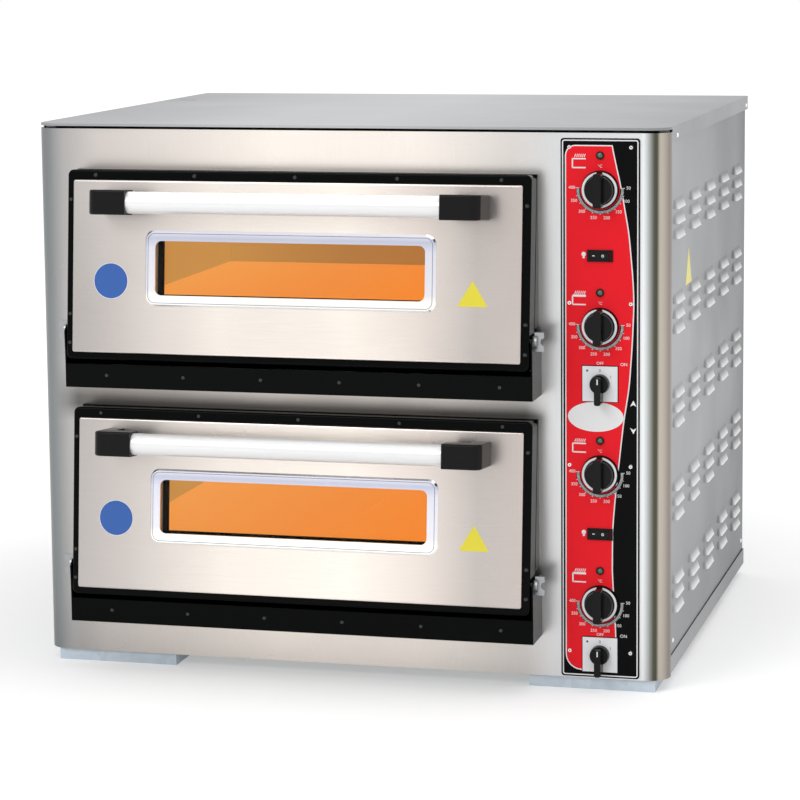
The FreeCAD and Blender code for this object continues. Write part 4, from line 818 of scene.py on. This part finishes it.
class PizzaOvenDials(bpy.types.Operator):
    """Print the scales, numbers and signs of the controls"""

    bl_idname = "pizza_oven.dials"
    bl_label = "Dials"

    def execute(self, context):
        settings = context.scene.pizza_oven_print
        self.dark_ground(settings)
        bm = bmesh.new()
        for deck in DECKS:
            for heat in HEATS:
                place = knob_place(deck, heat)
                self.scale(bm, place, settings)
                self.heater_sign(bm, (place.x - 0.0285, place.z + 0.038), heat)
                letters(bm, "°C", (place.x, place.z + 0.0315), 0.0055)
            rocker = joint_place(f"{deck}_rocker_tilt")
            self.lamp_sign(bm, (rocker.x - 0.0225, rocker.z + 0.001))
            selector = joint_place(f"{deck}_selector_turn")
            letters(bm, "OFF", (selector.x, selector.z + 0.0278), 0.0056)
            letters(bm, "ON", (selector.x + 0.0325, selector.z + 0.027), 0.0062)
        self.arrows(bm)
        flat(bm, bm.faces[:], settings.ink * 3)
        piece("dial_prints", bm, ON_FASCIA, "case", "print_white")
        return {"FINISHED"}

    def dark_ground(self, settings):
        """Black bands under the scales and black edges round the selector plates."""
        bm = bmesh.new()
        for deck in DECKS:
            for heat in HEATS:
                place = knob_place(deck, heat)
                part = bmesh.new()
                inner, outer = settings.dial_radius - 0.0015, settings.dial_radius + 0.0042
                band(part, inner, outer, SCALE_START, -SCALE_TURN, 48)
                add_part(bm, part, Matrix.Translation((place.x, place.z, 0)))
        edge, corner = 0.0012, 0.0006
        for low, high in loose_parts("selector_plates"):
            corners = (low.x - edge, low.z - edge), (high.x + edge, high.z + edge)
            part = bmesh.new()
            rounded_line(part, *corners, corner, 2 * edge)
            add_part(bm, part, Matrix())
        flat(bm, bm.faces[:], settings.ink * 2.5)
        piece("dark_prints", bm, ON_FASCIA, "case", "print_black")

    def scale(self, bm, place, settings):
        """Marks from three o'clock through six to nine, and a number at every fifty degrees."""
        long_mark, short_mark, mark_width = 0.0052, 0.0036, 0.0007
        last = settings.dial_marks - 1
        for index in range(settings.dial_marks):
            angle = SCALE_START - SCALE_TURN * index / last
            length = long_mark if index % 6 == 0 else short_mark
            centre = round_dial(place, settings.dial_radius + length / 2, angle)
            bar(bm, centre, length, mark_width, angle)
        heats = range(50, 401, 50)
        for index, heat in enumerate(heats):
            angle = SCALE_START - SCALE_TURN * index / (len(heats) - 1)
            centre = round_dial(place, settings.dial_radius + 0.0102, angle)
            letters(bm, str(heat), centre, settings.number_size)

    def heater_sign(self, bm, place, heat):
        """A rod bent round, with warmth rising over it."""
        across, up = place
        length, thin, thick = 0.018, 0.0018, 0.003
        bar(bm, (across, up - 0.0085), length, thin)
        bar(bm, (across - 0.0092, up - 0.0025), 0.0125, thin, math.pi / 2)
        bar(bm, (across, up + 0.0035), length, thin if heat == "top" else thick)
        rays, spacing, slant = 6, 0.0026, math.radians(68)
        for index in range(rays):
            bar(bm, (across - 0.0055 + index * spacing, up + 0.0078), 0.0046, 0.0010, slant)

    def lamp_sign(self, bm, place):
        across, up = place
        disc(bm, (across, up + 0.001), 0.0030, 20)
        bar(bm, (across, up - 0.0030), 0.0028, 0.0030)

    def arrows(self, bm):
        """An arrow up and an arrow down beside the badge."""
        column = 0.4035
        points = [(-0.0045, -0.004), (0.0, -0.0015), (0.0045, -0.004), (0.0, 0.0045)]
        for up, way in ((0.383, 1), (0.346, -1)):
            outline_face(bm, [(column + across, FOOT + up + way * rise) for across, rise in points])


class PizzaOvenBadge(bpy.types.Operator):
    """Fix the blank oval badge to the fascia"""

    bl_idname = "pizza_oven.badge"
    bl_label = "Blank badge"

    def execute(self, context):
        settings = context.scene.pizza_oven_print
        bm = bmesh.new()
        stretch = (1, settings.badge_height / settings.badge_width)
        disc(bm, (0.352, FOOT + 0.3635), settings.badge_width / 2, 64, stretch)
        thickness = 0.0006
        flat(bm, bm.faces[:], thickness)
        rim = [edge for edge in bm.edges if all(vert.co.z > thickness / 2 for vert in edge.verts)]
        bmesh.ops.bevel(
            bm, geom=rim, offset=thickness / 2, segments=2, profile=0.5, affect="EDGES", material=-1
        )
        piece("blank_badge", bm, ON_FASCIA, "case", "print_white")
        return {"FINISHED"}


class PizzaOvenKnobTrim(bpy.types.Operator):
    """Lay the bright rings on the heat knobs, and on the selectors a white line up the grip, a painted
    highlight that also serves as a pointer
    """

    bl_idname = "pizza_oven.knob_trim"
    bl_label = "Knob trim"

    def execute(self, context):
        inner, outer, thickness = 0.0210, 0.0241, 0.0003
        skirt, sunk = 0.0054, 0.0004
        gap = math.radians(10)
        for deck in DECKS:
            for heat in HEATS:
                name = f"{deck}_{heat}_heat_knob"
                place = knob_place(deck, heat)
                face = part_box(name)[1].y - skirt
                bm = bmesh.new()
                band(bm, inner, outer, math.pi / 2 + gap, 2 * math.pi - 2 * gap, 72)
                flat(bm, bm.faces[:], thickness)
                where = Matrix.Translation((place.x, face + sunk, place.z)) @ STANDING
                piece(f"{name}_ring", bm, where, f"{name}_turning", "plate_white")
            # A white line up the front of the selector's grip: a painted highlight, also read as a pointer.
            name = f"{deck}_selector_knob"
            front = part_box(name)[0].y
            bm = bmesh.new()
            bar(bm, (0, 0.0055), 0.0075, 0.0016, math.pi / 2)
            flat(bm, bm.faces[:], 0.0002)
            place = joint_place(f"{deck}_selector_turn")
            where = Matrix.Translation((place.x, front, place.z)) @ STANDING
            piece(f"{name}_grip_highlight", bm, where, f"{name}_turning", "print_white")
        return {"FINISHED"}


class PizzaOvenSwitchMarks(bpy.types.Operator):
    """Mark the rocker switches and the selector plates"""

    bl_idname = "pizza_oven.switch_marks"
    bl_label = "Switch marks"

    def execute(self, context):
        bm = bmesh.new()
        for low, high in loose_parts("selector_plates"):
            centre = middle((low, high))
            across, up = centre.x, centre.z
            size = 0.0060
            letters(bm, "0", (across, up + 0.018), size)
            letters(bm, "1", (across + 0.0150, up + 0.0095), size)
            disc(bm, (across - 0.0175, up + 0.018), 0.0016, 16)
        flat(bm, bm.faces[:], PAPER)
        where = Matrix.Translation((0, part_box("selector_plates")[0].y, 0)) @ STANDING
        piece("selector_plate_marks", bm, where, "case", "print_grey")
        tilt = math.radians(8)
        slope = math.atan2(0.001, 0.0134)
        proud = 0.0022
        for deck in DECKS:
            pivot = joint_place(f"{deck}_rocker_tilt")
            bm = bmesh.new()
            for across, make in ((-0.0085, self.dash), (0.0045, self.ring)):
                part = bmesh.new()
                make(part)
                flat(part, part.faces[:], 0.0002)
                rise = FASCIA_FACE - proud - abs(across) * math.tan(slope) - pivot.y
                turn = Matrix.Rotation(slope if across < 0 else -slope, 4, "Z")
                add_part(bm, part, Matrix.Translation((across, rise, 0)) @ turn @ STANDING)
            key = Matrix.Translation((pivot.x, FASCIA_FACE, pivot.z)) @ Matrix.Rotation(-tilt, 4, "Z")
            place = key @ Matrix.Translation((0, pivot.y - FASCIA_FACE, 0))
            piece(f"{deck}_rocker_marks", bm, place, f"{deck}_rocker_key", "print_white")
        return {"FINISHED"}

    def dash(self, bm):
        bar(bm, (0, 0), 0.0034, 0.0011)

    def ring(self, bm):
        band(bm, 0.0010, 0.0019, 0.0, 2 * math.pi, 20)


class PizzaOvenLenses(bpy.types.Operator):
    """Set the green lenses in the indicator lamps"""

    bl_idname = "pizza_oven.lenses"
    bl_label = "Indicator lenses"

    def execute(self, context):
        radius, sunk, cut = 0.0044, 0.0043, 0.0032
        bm = bmesh.new()
        for low, high in loose_parts("indicator_lamps"):
            centre = middle((low, high))
            matrix = Matrix.Translation((centre.x, low.y + sunk, centre.z)) @ STANDING
            made = bmesh.ops.create_uvsphere(bm, u_segments=24, v_segments=12, radius=radius, matrix=matrix)
            behind = [vert for vert in made["verts"] if vert.co.y > low.y + cut]
            bmesh.ops.delete(bm, geom=behind, context="VERTS")
        rims = [edge for edge in bm.edges if edge.is_boundary]
        bmesh.ops.holes_fill(bm, edges=rims, sides=0)
        piece("indicator_lenses", bm, Matrix(), "case", "lens", smooth=True)
        return {"FINISHED"}


class PizzaOvenTrimGrooves(bpy.types.Operator):
    """Lay the fine dark line of painted shade in the groove that runs round each window trim"""

    bl_idname = "pizza_oven.trim_grooves"
    bl_label = "Trim grooves"

    def execute(self, context):
        inset, corner, width, lift = 0.0042, 0.010, 0.0008, 0.00006
        half = TRIM_HALF - Vector((inset, inset))
        low, high = TRIM_MIDDLE - half, TRIM_MIDDLE + half
        for deck in DECKS:
            bm = bmesh.new()
            # The dark line is painted shade where the groove runs.
            rounded_line(bm, low, high, corner, width)
            flat(bm, bm.faces[:], lift)
            place = on_door(deck) @ Matrix.Translation((0, 0, TRIM_PROUD))
            piece(f"{deck}_trim_groove", bm, place, f"{deck}_door", "groove")
        return {"FINISHED"}


class PizzaOvenStickers(bpy.types.Operator):
    """Lay the plain round and three-cornered stickers on the doors and the side"""

    bl_idname = "pizza_oven.stickers"
    bl_label = "Stickers"

    def execute(self, context):
        for deck in DECKS:
            body = f"{deck}_door"
            for name, radius, lift, finish in (
                ("sticker_rim", 0.0250, 1, "print_white"),
                ("round_sticker", 0.0242, 2, "sticker_blue"),
            ):
                bm = bmesh.new()
                disc(bm, (-0.262, 0.070), radius, 64)
                flat(bm, bm.faces[:], PAPER * lift)
                piece(f"{deck}_{name}", bm, on_door(deck), body, finish)
            bm = bmesh.new()
            self.triangle(bm, (0.252, 0.0635), 0.042, 0.035)
            piece(f"{deck}_corner_sticker", bm, on_door(deck), body, "sticker_yellow")
        bm = bmesh.new()
        self.triangle(bm, (-0.1250, 0.5665), 0.055, 0.052)
        piece("side_sticker", bm, ON_SIDE, "case", "sticker_yellow")
        return {"FINISHED"}

    def triangle(self, bm, place, width, height):
        across, up = place
        points = [(-width / 2, -height / 2), (width / 2, -height / 2), (0, height / 2)]
        outline_face(bm, [(across + x, up + y) for x, y in points])
        corner = 0.002
        round_corners(bm, bm.verts[:], corner)
        flat(bm, bm.faces[:], 1.5 * PAPER)


class PizzaOvenScrewRecesses(bpy.types.Operator):
    """Lay a dark cross on each screw head: painted shade for its recess"""

    bl_idname = "pizza_oven.screw_recesses"
    bl_label = "Screw recesses"

    def execute(self, context):
        rows = [(f"{deck}_door_screws", f"{deck}_door") for deck in DECKS]
        rows += [("fascia_screws", "case"), ("sill_screws", "case")]
        length, width, lift = 0.0030, 0.0007, 0.00006
        radius, dome = 0.0023, 0.0009
        askew = Matrix.Rotation(0.5, 4, "Z")
        for node, body in rows:
            bm = bmesh.new()
            for low, high in loose_parts(node):
                part = bmesh.new()
                # The dark cross is painted shade where the screw's recess is.
                bar(part, (0, 0), length, width)
                bar(part, (0, 0), width, length)
                flat(part, part.faces[:], lift)
                centre = middle((low, high))
                head = Vector((centre.x, low.y, centre.z))
                turn = Matrix.Identity(4)
                if body != "case":
                    turn = Matrix.Rotation(-LEAN, 4, "X")
                    head.y = low.y + radius * math.sin(LEAN)
                    head.z = low.z + radius * math.cos(LEAN) + dome
                add_part(bm, part, Matrix.Translation(head) @ turn @ STANDING @ askew)
            piece(f"{node}_recesses", bm, Matrix(), body, "recess")
        return {"FINISHED"}


class PizzaOvenStage(bpy.types.Operator):
    """Set up the floor, the lights and the camera"""

    bl_idname = "pizza_oven.stage"
    bl_label = "Studio"

    def execute(self, context):
        studio = context.scene.pizza_oven_studio
        self.floor(studio)
        self.world(studio)
        self.light("key_light", (-1.6, -3.6, 3.2), 2.4, studio.key)
        self.light("top_light", (0.9, -0.2, 3.4), 2.6, studio.fill)
        self.camera()
        context.scene.view_settings.view_transform = "Standard"
        return {"FINISHED"}

    def seen(self, wiring):
        """One for rays from the camera and for those that metal or glass sends on."""
        path = wiring.add("ShaderNodeLightPath").outputs
        bright = wiring.sum("MAXIMUM", path["Is Camera Ray"], path["Is Glossy Ray"])
        return wiring.sum("MAXIMUM", bright, path["Is Transmission Ray"])

    def floor(self, studio):
        bm = bmesh.new()
        bmesh.ops.create_grid(bm, x_segments=2, y_segments=2, size=studio.floor / 2)
        mesh = bpy.data.meshes.new("studio_floor")
        bm.to_mesh(mesh)
        bm.free()
        item = bpy.data.objects.new("studio_floor", mesh)
        bpy.context.scene.collection.objects.link(item)
        material = bpy.data.materials.new("studio_floor")
        material.use_nodes = True
        material.node_tree.nodes.clear()
        wiring = Wiring(material.node_tree)
        matte = wiring.add("ShaderNodeBsdfDiffuse", {"Color": (0.80, 0.80, 0.80, 1)})
        away = wiring.add("ShaderNodeVectorMath", {0: wiring.place()}, operation="LENGTH").outputs["Value"]
        reach = {"Value": away, "From Min": 0.7, "From Max": 3.0, "To Min": 0.34, "To Max": 0.62}
        glow = wiring.add("ShaderNodeMapRange", reach).outputs["Result"]
        level = wiring.sum("MULTIPLY", self.seen(wiring), glow)
        lift = wiring.add("ShaderNodeEmission", {"Color": (1, 1, 1, 1), "Strength": level})
        both = wiring.add("ShaderNodeAddShader", {0: matte.outputs[0], 1: lift.outputs[0]})
        wiring.add("ShaderNodeOutputMaterial", {"Surface": both.outputs[0]})
        mesh.materials.append(material)

    def world(self, studio):
        world = bpy.data.worlds.new("studio")
        world.use_nodes = True
        world.node_tree.nodes.clear()
        wiring = Wiring(world.node_tree)
        seen = self.seen(wiring)
        lit = wiring.sum("MULTIPLY", wiring.sum("SUBTRACT", 1.0, seen), studio.world)
        level = wiring.sum("ADD", lit, seen)
        back = wiring.add("ShaderNodeBackground", {"Color": (1, 1, 1, 1), "Strength": level})
        wiring.add("ShaderNodeOutputWorld", {"Surface": back.outputs[0]})
        bpy.context.scene.world = world

    def light(self, name, place, size, power):
        lamp = bpy.data.lights.new(name, "AREA")
        lamp.energy = power
        lamp.size = size
        item = bpy.data.objects.new(name, lamp)
        bpy.context.scene.collection.objects.link(item)
        item.location = place
        oven_middle = Vector((0, 0, 0.38))
        item.rotation_euler = (oven_middle - Vector(place)).to_track_quat("-Z", "Y").to_euler()

    def camera(self):
        """Stand a little to the right of the oven, level with its top, and look slightly down."""
        yaw, pitch, roll = math.radians(14.67), math.radians(7.63), math.radians(-0.53)
        focus, picture, sensor = 2890.1, 800, 36.0
        place = Vector((1.0746, -3.8042, 1.0156)) + Vector((0, FASCIA_FACE + 0.002, FOOT))
        data = bpy.data.cameras.new("camera")
        data.sensor_width = sensor
        data.lens = focus / picture * sensor
        data.shift_y = -0.1
        data.clip_end = 200.0
        item = bpy.data.objects.new("camera", data)
        bpy.context.scene.collection.objects.link(item)
        turn = Matrix.Rotation(yaw, 4, "Z") @ Matrix.Rotation(math.pi / 2 - pitch, 4, "X")
        item.matrix_world = Matrix.Translation(place) @ turn @ Matrix.Rotation(roll, 4, "Z")
        bpy.context.scene.camera = item


OPERATORS = (
    PizzaOvenFinishes,
    PizzaOvenFasciaPrint,
    PizzaOvenDials,
    PizzaOvenBadge,
    PizzaOvenKnobTrim,
    PizzaOvenSwitchMarks,
    PizzaOvenLenses,
    PizzaOvenTrimGrooves,
    PizzaOvenStickers,
    PizzaOvenScrewRecesses,
    PizzaOvenStage,
)


class PizzaOvenPanel(bpy.types.Panel):
    """Lists the steps that dress the oven"""

    bl_idname = "VIEW3D_PT_pizza_oven"
    bl_label = "Pizza Oven"
    bl_space_type = "VIEW_3D"
    bl_region_type = "UI"
    bl_category = "Pizza Oven"

    def draw(self, context):
        for group in ("pizza_oven_finish", "pizza_oven_print", "pizza_oven_studio"):
            settings = getattr(context.scene, group)
            for name in settings.__annotations__:
                self.layout.prop(settings, name)
        for operator in OPERATORS:
            self.layout.operator(operator.bl_idname)


GROUPS = {
    "pizza_oven_finish": PizzaOvenFinish,
    "pizza_oven_print": PizzaOvenPrint,
    "pizza_oven_studio": PizzaOvenStudio,
}


def register():
    for name, group in GROUPS.items():
        bpy.utils.register_class(group)
        setattr(bpy.types.Scene, name, PointerProperty(type=group))
    for item in (*OPERATORS, PizzaOvenPanel):
        bpy.utils.register_class(item)


def unregister():
    for item in reversed((*OPERATORS, PizzaOvenPanel)):
        bpy.utils.unregister_class(item)
    for name, group in reversed(GROUPS.items()):
        delattr(bpy.types.Scene, name)
        bpy.utils.unregister_class(group)


def main():
    register()
    for operator in OPERATORS:
        group, name = operator.bl_idname.split(".")
        getattr(getattr(bpy.ops, group), name)()


if __name__ == "__main__":
    main()
